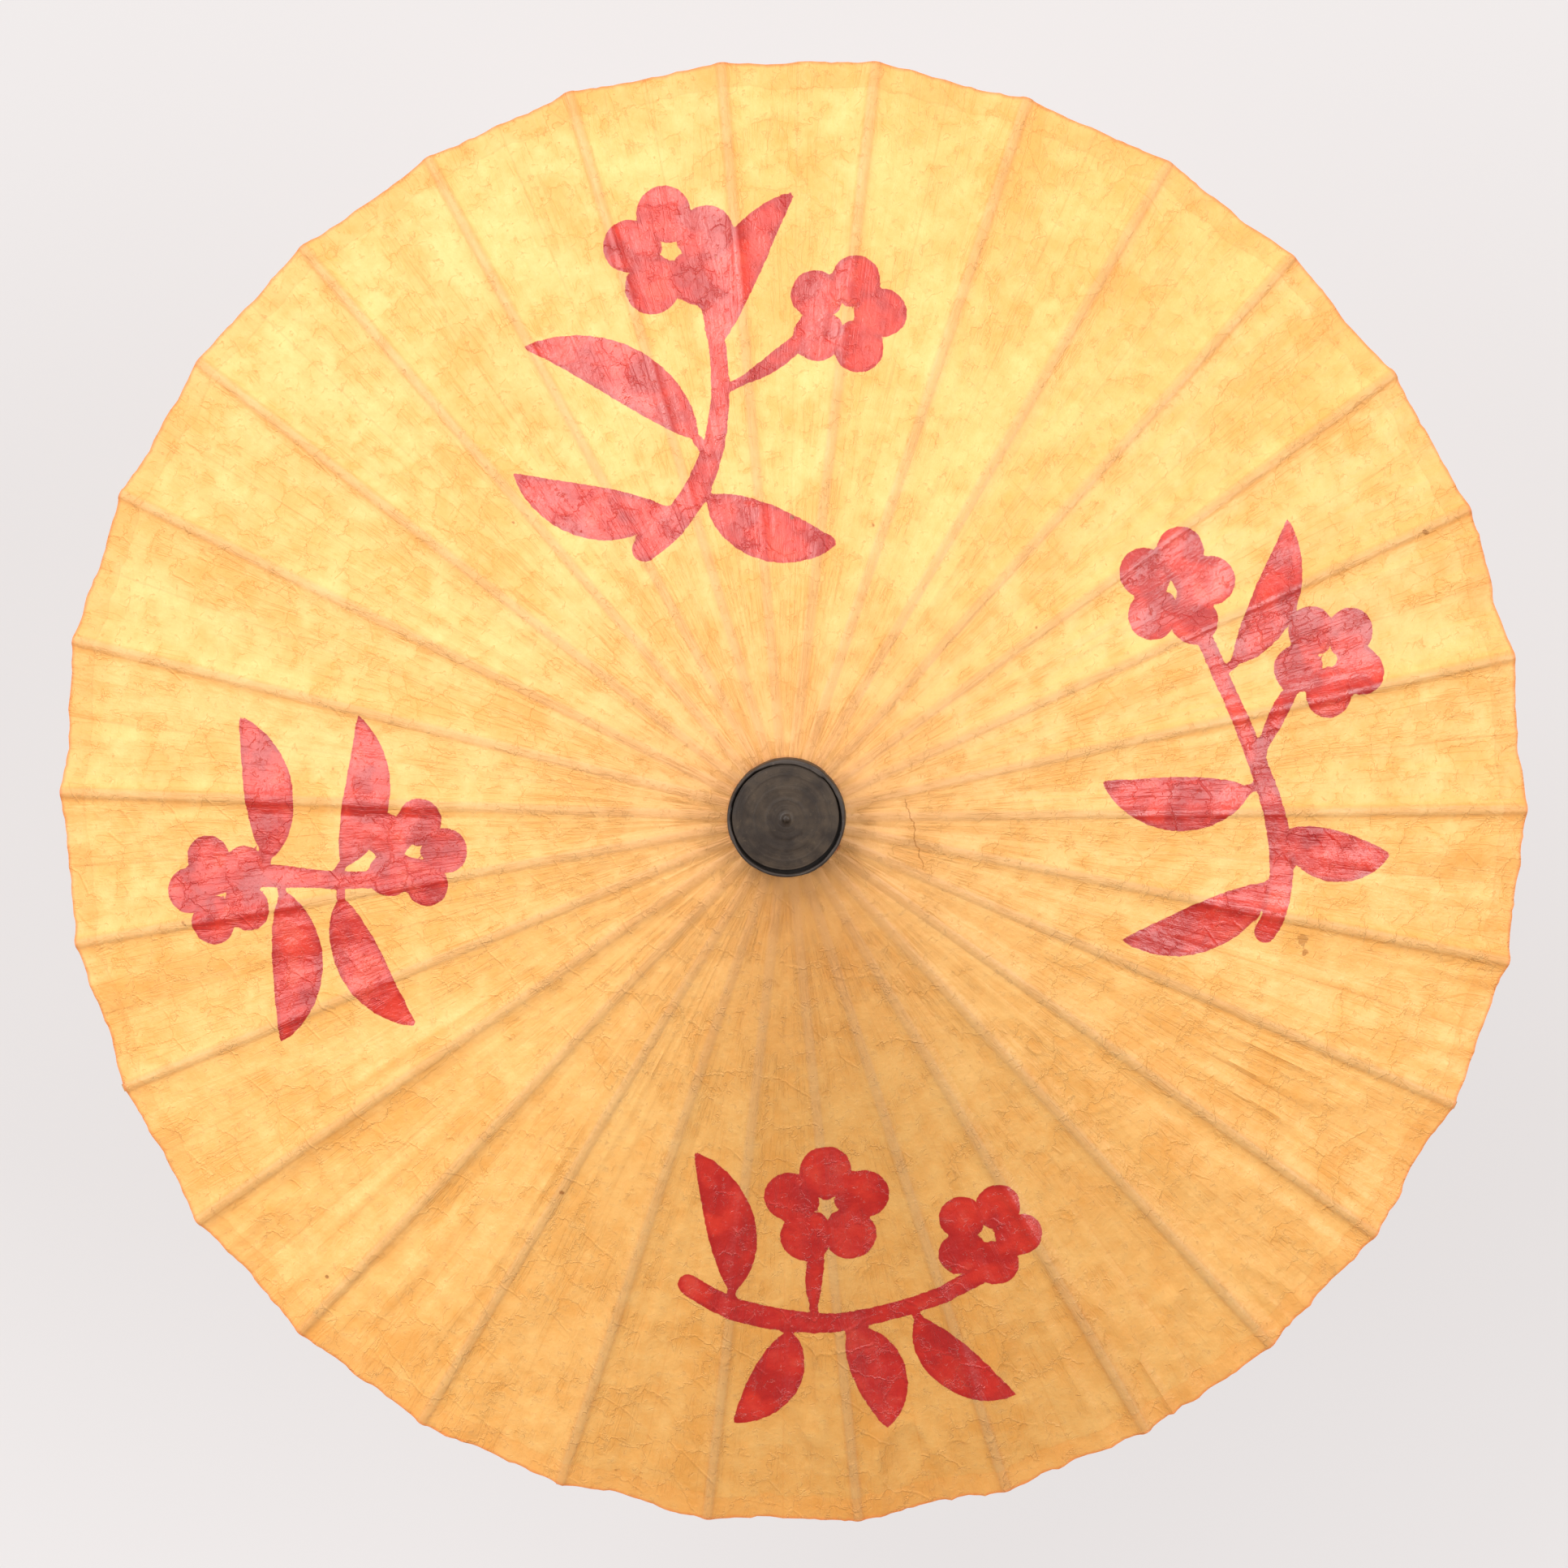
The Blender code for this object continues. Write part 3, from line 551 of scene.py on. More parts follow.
# ------------------------------------------------------------------ material helper
class Nodes:
    """A material's node tree, with a short method for each kind of node."""

    def __init__(self, name):
        self.material = bpy.data.materials.new(name)
        self.material.use_nodes = True
        self.tree = self.material.node_tree
        self.tree.nodes.clear()
        self.out = self.tree.nodes.new("ShaderNodeOutputMaterial")

    def put(self, socket, value):
        """Link a socket, or set a value; a number fills a vector, a colour gains alpha."""
        if isinstance(value, bpy.types.NodeSocket):
            self.tree.links.new(value, socket)
            return
        if hasattr(socket.default_value, "__len__"):
            count = len(socket.default_value)
            value = tuple(value) if hasattr(value, "__len__") else (value,) * count
            if count == 4 and len(value) == 3:
                value = (*value, 1.0)
        socket.default_value = value

    def node(self, kind, **inputs):
        made = self.tree.nodes.new(kind)
        for key, value in inputs.items():
            self.put(made.inputs[key.replace("_", " ")], value)
        return made

    def attribute(self, name, output="Fac"):
        made = self.node("ShaderNodeAttribute")
        made.attribute_name = name
        return made.outputs[output]

    def object_place(self):
        return self.node("ShaderNodeTexCoord").outputs["Object"]

    def math(self, operation, *values):
        made = self.node("ShaderNodeMath")
        made.operation = operation
        for i, value in enumerate(values):
            self.put(made.inputs[i], value)
        return made.outputs[0]

    def add(self, first, second):
        return self.math("ADD", first, second)

    def sub(self, first, second):
        return self.math("SUBTRACT", first, second)

    def mul(self, first, second):
        return self.math("MULTIPLY", first, second)

    def centred(self, value, gain):
        """A 0 to 1 field turned to swing about zero."""
        return self.mul(self.sub(value, 0.5), gain)

    def vmath(self, operation, *values, output="Vector"):
        made = self.node("ShaderNodeVectorMath")
        made.operation = operation
        for i, value in enumerate(values):
            self.put(made.inputs[i], value)
        return made.outputs[output]

    def vadd(self, first, second):
        return self.vmath("ADD", first, second)

    def vmul(self, first, second):
        return self.vmath("MULTIPLY", first, second)

    def dot(self, first, second):
        return self.vmath("DOT_PRODUCT", first, second, output="Value")

    def vscale(self, vector, factor):
        made = self.node("ShaderNodeVectorMath")
        made.operation = "SCALE"
        self.put(made.inputs[0], vector)
        self.put(made.inputs["Scale"], factor)
        return made.outputs["Vector"]

    def along_x(self, value):
        return self.node("ShaderNodeCombineXYZ", X=value).outputs[0]

    def noise(self, vector, scale, detail=3.0, rough=0.55, distortion=0.0):
        made = self.node("ShaderNodeTexNoise", Vector=vector, Scale=scale, Detail=detail,
                         Roughness=rough, Distortion=distortion)
        return made.outputs["Fac"]

    def voronoi(self, vector, scale, feature="DISTANCE_TO_EDGE"):
        made = self.node("ShaderNodeTexVoronoi")
        made.feature = feature
        self.put(made.inputs["Vector"], vector)
        self.put(made.inputs["Scale"], scale)
        return made.outputs["Distance"]

    def remap(self, value, span, to=(0.0, 1.0), curve="SMOOTHSTEP"):
        made = self.node("ShaderNodeMapRange")
        made.interpolation_type = curve
        for i, number in enumerate((value, *span, *to)):
            self.put(made.inputs[i], number)
        return made.outputs[0]

    def line(self, value, at, width, peak=1.0):
        """A line where value is `at`, fading out at `width` to both sides."""
        return self.remap(self.math("ABSOLUTE", self.sub(value, at)), (0.0, width), (peak, 0.0))

    def mix(self, base, colour, mask):
        made = self.node("ShaderNodeMix")
        made.data_type = "RGBA"
        self.put(made.inputs[0], mask)
        self.put(made.inputs[6], base)
        self.put(made.inputs[7], colour)
        return made.outputs[2]

    def tint(self, base, colour, mask, share):
        return self.mix(base, colour, self.mul(mask, share))

    def bump(self, height, distance, strength):
        made = self.node("ShaderNodeBump", Height=height, Distance=distance, Strength=strength)
        return made.outputs["Normal"]

    def principled(self, **inputs):
        return self.node("ShaderNodeBsdfPrincipled", **inputs).outputs[0]

    def finish(self, shader):
        self.tree.links.new(shader, self.out.inputs["Surface"])
        return self.material


def srgb(*channels):
    """Linear colour of 0 to 255 sRGB channels."""
    shares = [channel / 255.0 for channel in channels]
    return tuple(c / 12.92 if c <= 0.04045 else ((c + 0.055) / 1.055) ** 2.4 for c in shares)


def darker(colour, factor):
    return tuple(channel * factor for channel in colour)


# ------------------------------------------------------------------ paper
PAPER_LIGHT = srgb(252, 207, 131)
PAPER_DEEP = srgb(239, 179, 96)
PAPER_GLOW = srgb(254, 206, 108)
PAPER_CREASE = srgb(212, 142, 66)
PAINT_DARK = srgb(160, 16, 16)
# small stains: right and up in shares of the rim's radius, radius in mm, strength
STAINS = [
    (0.6858407, -0.1792035, 2.6, 0.5), (0.6891593, -0.1969027, 1.6, 0.6),
    (0.8539823, 0.3650442, 1.0, 0.6), (-0.3030973, -0.5165929, 0.8, 0.8),
    (0.1106195, 0.3727876, 0.3, 0.8), (-0.8207965, -0.1626106, 0.5, 0.6),
    (0.3230088, 0.2400442, 0.3, 0.7), (-0.3628319, 0.3772124, 0.2, 0.7),
]
# ends of the fine cracked line, in the same shares
CRACK_ENDS = ((0.1515487, 0.0243363), (0.1758850, -0.0730088))


def paper_fields(mat):
    """The mesh's own fields (distances in mm, rest in metres) and the fine detail."""
    field = SimpleNamespace(rest=mat.attribute("rest", "Vector"))
    for name in ("rib_t", "mid_d", "rim_d", "paint_d", "foot_d", "age"):
        setattr(field, name, mat.attribute(name))
    tone = mat.node("ShaderNodeSeparateXYZ", Vector=mat.attribute("tone", "Vector"))
    field.mottle, field.cloud, field.near = tone.outputs
    polar = mat.attribute("polar", "Vector")
    rest = field.rest
    field.fine = mat.noise(rest, scale=210.0, rough=0.62)
    stretched = mat.vadd(mat.vmul(polar, (40.0, 40.0, 6.5)), mat.vscale(rest, 9.0))
    field.streak = mat.noise(stretched, scale=1.0, rough=0.62, distortion=0.5)
    shaken = mat.vadd(rest, mat.vscale((1, 1, 0), mat.mul(field.fine, 0.02)))
    cells = mat.voronoi(shaken, scale=115.0)
    field.fibre = mat.mul(
        mat.remap(cells, (0.0, 0.05), to=(1.0, 0.0)), mat.remap(field.fine, (0.50, 0.62)))
    vary = mat.add(field.mottle, mat.centred(field.fine, gain=1.05))
    field.vary = mat.add(vary, mat.centred(field.streak, gain=0.45))
    field.crease = mat.mul(
        mat.line(field.streak, at=0.5, width=0.035),
        mat.remap(field.mottle, (0.35, 0.75), to=(1.0, 0.1)))
    field.over_rib = mat.remap(field.rib_t, (1.5, 3.6), to=(1.0, 0.0))
    return field


def sheet_colour(mat, field):
    rim_d, mottle, fine = field.rim_d, field.mottle, field.fine
    base = mat.mix(PAPER_DEEP, PAPER_LIGHT, field.vary)
    base = mat.tint(base, srgb(234, 166, 82), mask=field.cloud, share=0.34)
    # darker and browner toward the bottom of the view, and a little near the cap
    base = mat.mix(base, mat.vmul(base, (0.70, 0.652, 0.585)), mask=field.age)
    base = mat.tint(base, PAPER_CREASE, mask=field.fibre, share=0.22)
    base = mat.tint(base, srgb(208, 138, 66), mask=field.crease, share=0.10)

    # painted shade of the rib behind the paper, which holds back the light coming through: a
    # soft greyed band, with a darker line of painted shade at each side where the paper bends
    # off it
    share = mat.remap(rim_d, (60.0, 390.0), to=(0.40, 0.46))
    base = mat.tint(base, srgb(204, 158, 108), mask=field.over_rib, share=share)
    # painted shade along the rib's edges, where the paper leaves it
    side = mat.line(field.rib_t, at=3.1, width=1.2)
    share = mat.remap(rim_d, (0.0, 320.0), to=(0.15, 0.03))
    base = mat.tint(base, srgb(198, 122, 58), mask=side, share=share)

    # pasted hem, the line where it starts, and the worn rim
    hem_place = mat.add(rim_d, mat.centred(mottle, gain=5.0))
    hem = mat.remap(hem_place, (14.2, 15.4), to=(1.0, 0.0))
    base = mat.tint(base, srgb(232, 156, 76), mask=hem, share=0.22)
    base = mat.mix(base, srgb(205, 132, 60), mat.line(hem_place, at=14.8, width=0.8, peak=0.18))
    edge = mat.remap(mat.add(rim_d, mat.mul(fine, 2.0)), (0.8, 3.6), to=(1.0, 0.0))
    base = mat.tint(base, srgb(212, 112, 70), mask=edge, share=0.66)

    # fold at the middle of each gore
    fold_line = mat.remap(field.mid_d, (0.0, 0.9), to=(1.0, 0.0))
    share = mat.remap(rim_d, (40.0, 330.0), to=(0.22, 0.05))
    base = mat.tint(base, PAPER_CREASE, mask=fold_line, share=share)

    # greyer toward the cap, with paste and old colour at its foot
    base = mat.tint(base, srgb(222, 152, 88), mask=field.near, share=0.46)
    foot_place = mat.add(field.foot_d, mat.mul(fine, 3.0))
    foot = mat.remap(foot_place, (2.0, 3.7), to=(0.85, 0.0))
    patches = mat.mul(
        mat.remap(mottle, (0.34, 0.60), to=(1.0, 0.05)),
        mat.remap(field.age, (0.06, 0.30), to=(0.30, 1.0)))
    return mat.tint(base, srgb(170, 78, 48), mask=foot, share=patches)


def painted_colour(mat, field, base):
    """Glossy red sprays, darker where the brush left more; also returns their mask."""
    place = mat.add(field.paint_d, mat.centred(field.fine, gain=1.8))
    inside = mat.remap(place, (0.28, -0.28))
    wet = mat.remap(place, (-3.0, -0.4), to=(0.0, 0.40))
    red = mat.mix(srgb(194, 30, 20), srgb(230, 64, 42), field.vary)
    load = mat.noise(field.rest, scale=48.0, detail=2.0, rough=0.5)
    red = mat.mix(red, srgb(160, 14, 14), mat.remap(load, (0.44, 0.62), to=(0.0, 0.60)))
    red = mat.mix(red, srgb(238, 92, 66), mat.remap(load, (0.42, 0.30), to=(0.0, 0.45)))
    red = mat.tint(red, srgb(226, 84, 60), mask=field.fibre, share=0.3)
    red = mat.mix(red, srgb(152, 12, 14), wet)
    # painted shade of the rib behind the paint
    red = mat.tint(red, srgb(150, 16, 16), mask=field.over_rib, share=0.18)
    # paint made darker toward the bottom of the view
    red = mat.tint(red, PAINT_DARK, mask=field.age, share=0.45)
    return mat.mix(base, red, inside), inside


def spotted_colour(mat, field, colour):
    """Small specks of age and the stains."""
    rest = field.rest
    spot = mat.voronoi(rest, scale=13.0, feature="F1")
    speck = mat.remap(spot, (0.010, 0.022), to=(0.7, 0.0))
    colour = mat.mix(colour, srgb(128, 76, 36), speck)
    shake = mat.vscale((1, -1, 0), mat.centred(field.fine, gain=0.006))
    flat = mat.vadd(mat.vmul(rest, (1.0, 1.0, 0.0)), shake)
    for right, up, radius, strength in STAINS:
        centre = (*(on_canopy(right, up) * MM), 0.0)
        away = mat.sub(mat.vmath("DISTANCE", flat, centre, output="Value"), radius * MM)
        stain = mat.remap(away, (0.0, 0.0009), to=(strength, 0.0))
        colour = mat.mix(colour, srgb(150, 88, 34), stain)
    return colour


def cracked_colour(mat, field, colour):
    """One fine wavering line between the crack's ends."""
    start, end = (np.array([*on_canopy(*place), 0.0]) * MM for place in CRACK_ENDS)
    length = float(np.linalg.norm(end - start))
    along = (end - start) / length
    across = np.array([-along[1], along[0], 0.0])
    local = mat.vmath("SUBTRACT", field.rest, tuple(start))
    run = mat.dot(local, tuple(along))
    wave = mat.noise(mat.along_x(mat.mul(run, 95.0)), scale=1.0, rough=0.6)
    offset = mat.sub(mat.dot(local, tuple(across)), mat.centred(wave, gain=0.010))
    line = mat.remap(mat.math("ABSOLUTE", offset), (0.00012, 0.0005), to=(0.75, 0.0))
    ends = mat.mul(
        mat.remap(run, (0.0, 0.003)),
        mat.remap(run, (length - 0.004, length), to=(1.0, 0.0)))
    return mat.tint(colour, srgb(170, 104, 40), mask=line, share=ends)


def paper_normal(mat, field):
    """Crumple, fine creases along the ribs, cracks and paper tooth."""
    tooth = mat.noise(field.rest, scale=1100.0, detail=2.0, rough=0.6)
    height = mat.add(field.fine, mat.mul(tooth, 0.10))
    streak_depth = mat.remap(field.rim_d, (0.0, 380.0), to=(1.1, 0.25))
    height = mat.add(height, mat.mul(field.streak, streak_depth))
    shake = mat.vscale((1, -1, 0), mat.mul(mat.add(field.fine, field.mottle), 0.012))
    cells = mat.voronoi(mat.vadd(field.rest, shake), scale=44.0)
    patches = mat.add(field.mottle, mat.mul(field.streak, 0.6))
    crack = mat.mul(
        mat.remap(cells, (0.0, 0.045), to=(1.0, 0.0)),
        mat.remap(patches, (0.70, 0.92), to=(1.0, 0.0)))
    height = mat.add(height, mat.mul(crack, 0.45))
    sunk = mat.add(mat.mul(field.crease, 0.25), mat.mul(field.fibre, 0.35))
    return mat.bump(mat.sub(height, sunk), distance=0.0008, strength=0.68)


def paper_material():
    """Oiled paper, partly translucent; slow colour comes from the mesh's tone fields."""
    mat = Nodes("oiled_paper")
    field = paper_fields(mat)
    colour, inside = painted_colour(mat, field, sheet_colour(mat, field))
    colour = cracked_colour(mat, field, spotted_colour(mat, field, colour))
    normal = paper_normal(mat, field)
    rough = mat.remap(field.mottle, (0.2, 0.8), to=(0.52, 0.42), curve="LINEAR")
    front = mat.principled(
        Base_Color=colour,
        Roughness=mat.sub(rough, mat.mul(inside, 0.07)),
        Normal=normal,
        Specular_IOR_Level=mat.add(0.42, mat.mul(inside, 0.50)),
    )
    glow = mat.mix(PAPER_GLOW, srgb(190, 20, 22), inside)
    through = mat.node("ShaderNodeBsdfTranslucent", Color=glow, Normal=normal).outputs[0]
    # less light comes through over the ribs and through the paint
    share = mat.sub(0.30, mat.mul(field.over_rib, 0.03))
    share = mat.sub(share, mat.mul(inside, 0.12))
    blend = mat.node("ShaderNodeMixShader")
    for i, value in enumerate((share, front, through)):
        mat.put(blend.inputs[i], value)
    return mat.finish(blend.outputs[0])


# ------------------------------------------------------------------ other materials
def bamboo_material(name, pale, dark, axis):
    """Split bamboo: fibres run along `axis`, a unit vector in the object's frame at rest."""
    mat = Nodes(name)
    rest = mat.object_place()
    along = mat.dot(rest, axis)
    across = mat.vmath("SUBTRACT", rest, mat.vscale(axis, along))

    def stretched(share):
        return mat.vadd(mat.vscale(across, 1.0), mat.vscale(axis, mat.mul(along, share)))

    fibre = mat.noise(stretched(0.03), scale=2200.0, detail=4.0, rough=0.6)
    slow = mat.noise(stretched(0.1), scale=160.0, rough=0.5)
    colour = mat.mix(dark, pale, mat.remap(fibre, (0.3, 0.7)))
    colour = mat.mix(colour, darker(dark, 0.7), mat.remap(slow, (0.4, 0.7), to=(0.0, 0.4)))
    normal = mat.bump(fibre, distance=0.0002, strength=0.4)
    rough = mat.remap(fibre, (0.3, 0.7), to=(0.52, 0.38), curve="LINEAR")
    return mat.finish(mat.principled(Base_Color=colour, Roughness=rough, Normal=normal))


def wood_material(name, pale, dark):
    """Turned wood with grain and pores drawn out along Z."""
    mat = Nodes(name)
    rest = mat.object_place()
    drift = mat.node(
        "ShaderNodeTexNoise", Vector=mat.vmul(rest, (1, 1, 0.15)), Scale=60.0, Detail=2.0)
    warp = mat.vadd(rest, mat.vscale(drift.outputs["Color"], 0.004))
    rings = mat.noise(mat.vmul(warp, (1.0, 1.0, 0.05)), scale=420.0, detail=4.0)
    pores = mat.noise(mat.vmul(rest, (1.0, 1.0, 0.04)), scale=2600.0, detail=2.0, rough=0.5)
    colour = mat.mix(dark, pale, mat.remap(rings, (0.3, 0.7)))
    colour = mat.mix(colour, darker(dark, 0.4), mat.remap(pores, (0.60, 0.72), to=(0.0, 0.6)))
    height = mat.sub(rings, mat.mul(mat.remap(pores, (0.6, 0.72)), 0.8))
    return mat.finish(mat.principled(
        Base_Color=colour,
        Roughness=mat.remap(rings, (0.3, 0.7), to=(0.36, 0.5), curve="LINEAR"),
        Normal=mat.bump(height, distance=0.0003, strength=0.35),
        Coat_Weight=0.15,
        Coat_Roughness=0.3,
    ))


def lacquer_material(name, low, high, scuffed, groove_z=None):
    """Old dark lacquer with worn turning rings, clouding, scuffs; below groove_z, near-black
    painted shade of the groove between the lid and the band.
    """
    mat = Nodes(name)
    rest = mat.object_place()
    cloud = mat.noise(rest, scale=75.0, rough=0.6)
    flat = mat.vmul(rest, (1.0, 1.0, 0.0))
    radius = mat.mul(mat.vmath("LENGTH", flat, output="Value"), 1000.0)
    radius = mat.add(radius, mat.mul(cloud, 7.0))
    rings = mat.noise(mat.along_x(mat.mul(radius, 0.42)), scale=1.0, rough=0.7)
    scuff = mat.noise(rest, scale=340.0, detail=4.0, rough=0.7)
    colour = mat.mix(low, high, mat.remap(cloud, (0.34, 0.66)))
    colour = mat.mix(colour, darker(low, 0.55), mat.remap(rings, (0.42, 0.60), to=(0.0, 0.26)))
    colour = mat.mix(colour, scuffed, mat.remap(scuff, (0.58, 0.74), to=(0.0, 0.45)))
    # painted shade: the lid's side down in the groove goes near black
    if groove_z:
        place = mat.node("ShaderNodeSeparateXYZ", Vector=rest)
        above = mat.sub(mat.mul(place.outputs[2], 1000.0), groove_z)
        above = mat.add(above, mat.centred(scuff, gain=0.25))
        groove = mat.remap(above, (-0.25, 0.05), to=(0.94, 0.0))
        colour = mat.mix(colour, srgb(15, 10, 8), groove)
    height = mat.add(mat.mul(rings, 0.7), mat.mul(scuff, 0.30))
    return mat.finish(mat.principled(
        Base_Color=colour,
        Roughness=mat.remap(cloud, (0.3, 0.7), to=(0.46, 0.62), curve="LINEAR"),
        Normal=mat.bump(height, distance=0.0004, strength=0.5),
        Specular_IOR_Level=0.38,
    ))


def plain_material(name, colour, rough, metallic=0.0, scale=300.0, vary=0.25):
    """One colour, darkened by up to `vary` in a noise of the given scale."""
    mat = Nodes(name)
    grain = mat.noise(mat.object_place(), scale=scale, detail=4.0, rough=0.6)
    return mat.finish(mat.principled(
        Base_Color=mat.mix(darker(colour, 1 - vary), colour, mat.remap(grain, (0.3, 0.7))),
        Roughness=mat.remap(grain, (0.3, 0.7), to=(rough + 0.08, rough - 0.05), curve="LINEAR"),
        Metallic=metallic,
        Normal=mat.bump(grain, distance=0.0002, strength=0.3),
    ))


def rib_bamboo(i):
    axis = tuple(rib_frame(i)[1])
    name = f"bamboo_rib_{i + 1:02d}"
    return bamboo_material(name, pale=srgb(214, 172, 112), dark=srgb(176, 128, 72), axis=axis)


def stretcher_bamboo(i):
    angle = i * RIB_STEP
    axis = (COS_SLOPE * math.cos(angle), COS_SLOPE * math.sin(angle), SIN_SLOPE)
    name = f"bamboo_stretcher_{i + 1:02d}"
    return bamboo_material(name, pale=srgb(210, 166, 104), dark=srgb(172, 122, 66), axis=axis)


# ------------------------------------------------------------------ the CAD pieces' finishes
LID_EDGE = 15.2                 # rounded edge of the lid's top, above the pivots

paper = paper_material()
lacquer = lacquer_material(
    "cap_lacquer", low=srgb(50, 42, 35), high=srgb(68, 58, 49), scuffed=srgb(98, 88, 78))
# with painted shade in the groove below the lid's edge
lid_lacquer = lacquer_material(
    "lid_lacquer", low=srgb(38, 27, 19), high=srgb(62, 48, 34), scuffed=srgb(88, 73, 57),
    groove_z=PIVOT_Z + LID_EDGE)
band_lacquer = lacquer_material(
    "band_lacquer", low=srgb(44, 35, 30), high=srgb(64, 54, 47), scuffed=srgb(98, 86, 76))
wood = wood_material("turned_hardwood", pale=srgb(142, 92, 52), dark=srgb(92, 54, 28))
brass = plain_material("catch_brass", srgb(196, 160, 88), rough=0.32, metallic=1.0)
cord = plain_material("cotton_cord", srgb(150, 40, 30), rough=0.9, scale=900.0, vary=0.45)
horn = plain_material("dark_horn", srgb(44, 34, 28), rough=0.28, scale=120.0, vary=0.5)
shaft_bamboo = bamboo_material(
    "smoked_bamboo", pale=srgb(170, 118, 66), dark=srgb(120, 74, 36), axis=(0.0, 0.0, 1.0))

FINISHES = {
    "shaft": shaft_bamboo, "stop_pin": shaft_bamboo, "notch_peg": shaft_bamboo,
    "catch": brass, "catch_pin": brass, "catch_spring": brass,
    "top_notch": wood, "runner": wood, "handle": wood,
    "notch_thread": cord, "runner_thread": cord,
    "cap_band": lacquer, "cap_top": lacquer, "canopy": paper, "end_cap": horn,
}

for name, piece in frame["nodes"].items():
    piece.data.materials.clear()
    piece.data.shade_smooth()
    piece.data.set_sharp_from_angle(angle=math.radians(35))
    if name.startswith("rib_"):
        finish = rib_bamboo(int(name[4:]) - 1)
    elif name.startswith("stretcher_"):
        finish = stretcher_bamboo(int(name[10:]) - 1)
    else:
        finish = FINISHES[name]
    piece.data.materials.append(finish)

build_canopy(paper)


# ------------------------------------------------------------------ turned pieces
def turned(name, profile, segments, warp=None, sharp=40):
    """A closed turned piece from (radius, height); warp(points, angles) may deform it."""
    profile = np.asarray(profile, float)
    angles = np.arange(segments) * 2 * math.pi / segments
    ring = np.stack([np.cos(angles), np.sin(angles)], -1)
    rim = profile[profile[:, 0] > 1e-6]
    heights = np.repeat(rim[:, None, 1:], segments, 1)
    points = np.concatenate([rim[:, None, :1] * ring[None], heights], -1)
    if warp:
        points = warp(points, angles[None, :])
    rows = len(rim)
    verts = [tuple(point * MM) for point in points.reshape(-1, 3)]
    faces = []
    on_axis = profile[0][0] <= 1e-6
    for row in range(rows - 1 if on_axis else rows):
        above = ((row + 1) % rows) * segments
        for k in range(segments):
            after = (k + 1) % segments
            faces.append((row * segments + k, row * segments + after, above + after, above + k))
    if on_axis:
        for row, height in ((0, profile[0][1]), (rows - 1, profile[-1][1])):
            verts.append((0.0, 0.0, height * MM))
            for k in range(segments):
                after = (k + 1) % segments
                faces.append((row * segments + k, row * segments + after, len(verts) - 1))
    mesh = bpy.data.meshes.new(name)
    mesh.from_pydata(verts, [], faces)
    editor = bmesh.new()
    editor.from_mesh(mesh)
    bmesh.ops.recalc_face_normals(editor, faces=editor.faces[:])
    editor.to_mesh(mesh)
    editor.free()
    mesh.shade_smooth()
    mesh.set_sharp_from_angle(angle=math.radians(sharp))
    obj = bpy.data.objects.new(name, mesh)
    bpy.context.scene.collection.objects.link(obj)
    return obj


def fit(obj, material, replaces):
    obj.data.materials.append(material)
    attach(obj, "frame")
    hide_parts(replaces)


def smooth_curve(knots, steps=4):
    """Catmull-Rom through (radius, height) knots, as a list."""
    knots = np.asarray(knots, float)
    knots = np.concatenate([[2 * knots[0] - knots[1]], knots, [2 * knots[-1] - knots[-2]]])
    t = np.linspace(0, 1, steps, endpoint=False)[:, None]
    spans = []
    for before, start, end, after in zip(knots, knots[1:], knots[2:], knots[3:]):
        leave, arrive = 0.5 * (end - before), 0.5 * (after - start)
        span = (2 * t**3 - 3 * t**2 + 1) * start + (t**3 - 2 * t**2 + t) * leave
        spans.append(span + (-2 * t**3 + 3 * t**2) * end + (t**3 - t**2) * arrive)
    return list(map(tuple, np.concatenate(spans + [knots[-2:-1]])))


def above_pivot(profile):
    return [(radius, height + PIVOT_Z) for radius, height in profile]


# outlines are (radius, height); those of the cap are measured from the pivots' height
LID_SIDE = [
    (0, 12.6), (29.2, 12.6), (29.65, 12.9), (29.7, 13.6), (29.55, 13.9), (29.2, 13.95),
    (28.95, 14.1), (28.85, 14.5), (28.75, 14.95), (28.6, LID_EDGE),
]
LID_NUB = [
    (3.6, 16.3), (3.0, 16.45), (2.5, 16.75), (2.1, 17.2), (1.7, 17.6), (1.2, 17.9),
    (0.6, 18.05), (0, 18.1),
]
BAND_OUTSIDE = [
    (31.4, 2.2), (31.75, 3.8), (31.7, 8.0), (31.6, 13.2), (31.5, 15.4), (31.1, 16.5),
    (30.6, 16.85), (30.15, 16.7), (29.85, 16.1), (29.75, 15.0),
]
BAND_INSIDE = [(29.8, 12.0), (30.3, 9.0), (30.3, 2.6)]
BAND_SEAM = VIEW_UP_AZIMUTH - math.radians(42)


def lid_profile():
    """A shallow worn dome with a small nub."""
    radius = np.linspace(28.4, 4.4, 74)
    dome = 15.4 + 0.8 * (1 - (radius / 28.9) ** 2)
    dome = dome + 0.07 * noise2(radius * 0.42, 2.2, seed=910)
    dome = dome + 0.04 * noise2(radius * 1.3, 5.2, seed=911)
    return above_pivot(LID_SIDE + list(zip(radius, dome)) + LID_NUB)


def lid_warp(points, angles):
    """Out of round, dented, and drawn in toward the bottom of the view to widen the groove."""
    radius = np.hypot(points[..., 0], points[..., 1])
    wobble = 0.22 * noise2(angles / (2 * math.pi) * 14, 0.5, seed=912, wrap=14)
    wobble = wobble * rise(radius, 24, 4)
    dent = 0.20 * fbm(points, size=9.0, octaves=3, seed=913) * rise(radius, 1, 4)
    away = downward(points, turn=0.5) / np.maximum(radius, 1e-6)
    pull = (0.05 - 1.15 * np.clip(away, -0.25, 1)) * rise(radius, 18, 9) * (radius < 28.9)
    points = points.copy()
    points[..., :2] *= (1 + (wobble + pull) / 29)[..., None]
    points[..., 2] += np.where(points[..., 2] > PIVOT_Z + 15.1, dent, 0)
    return points


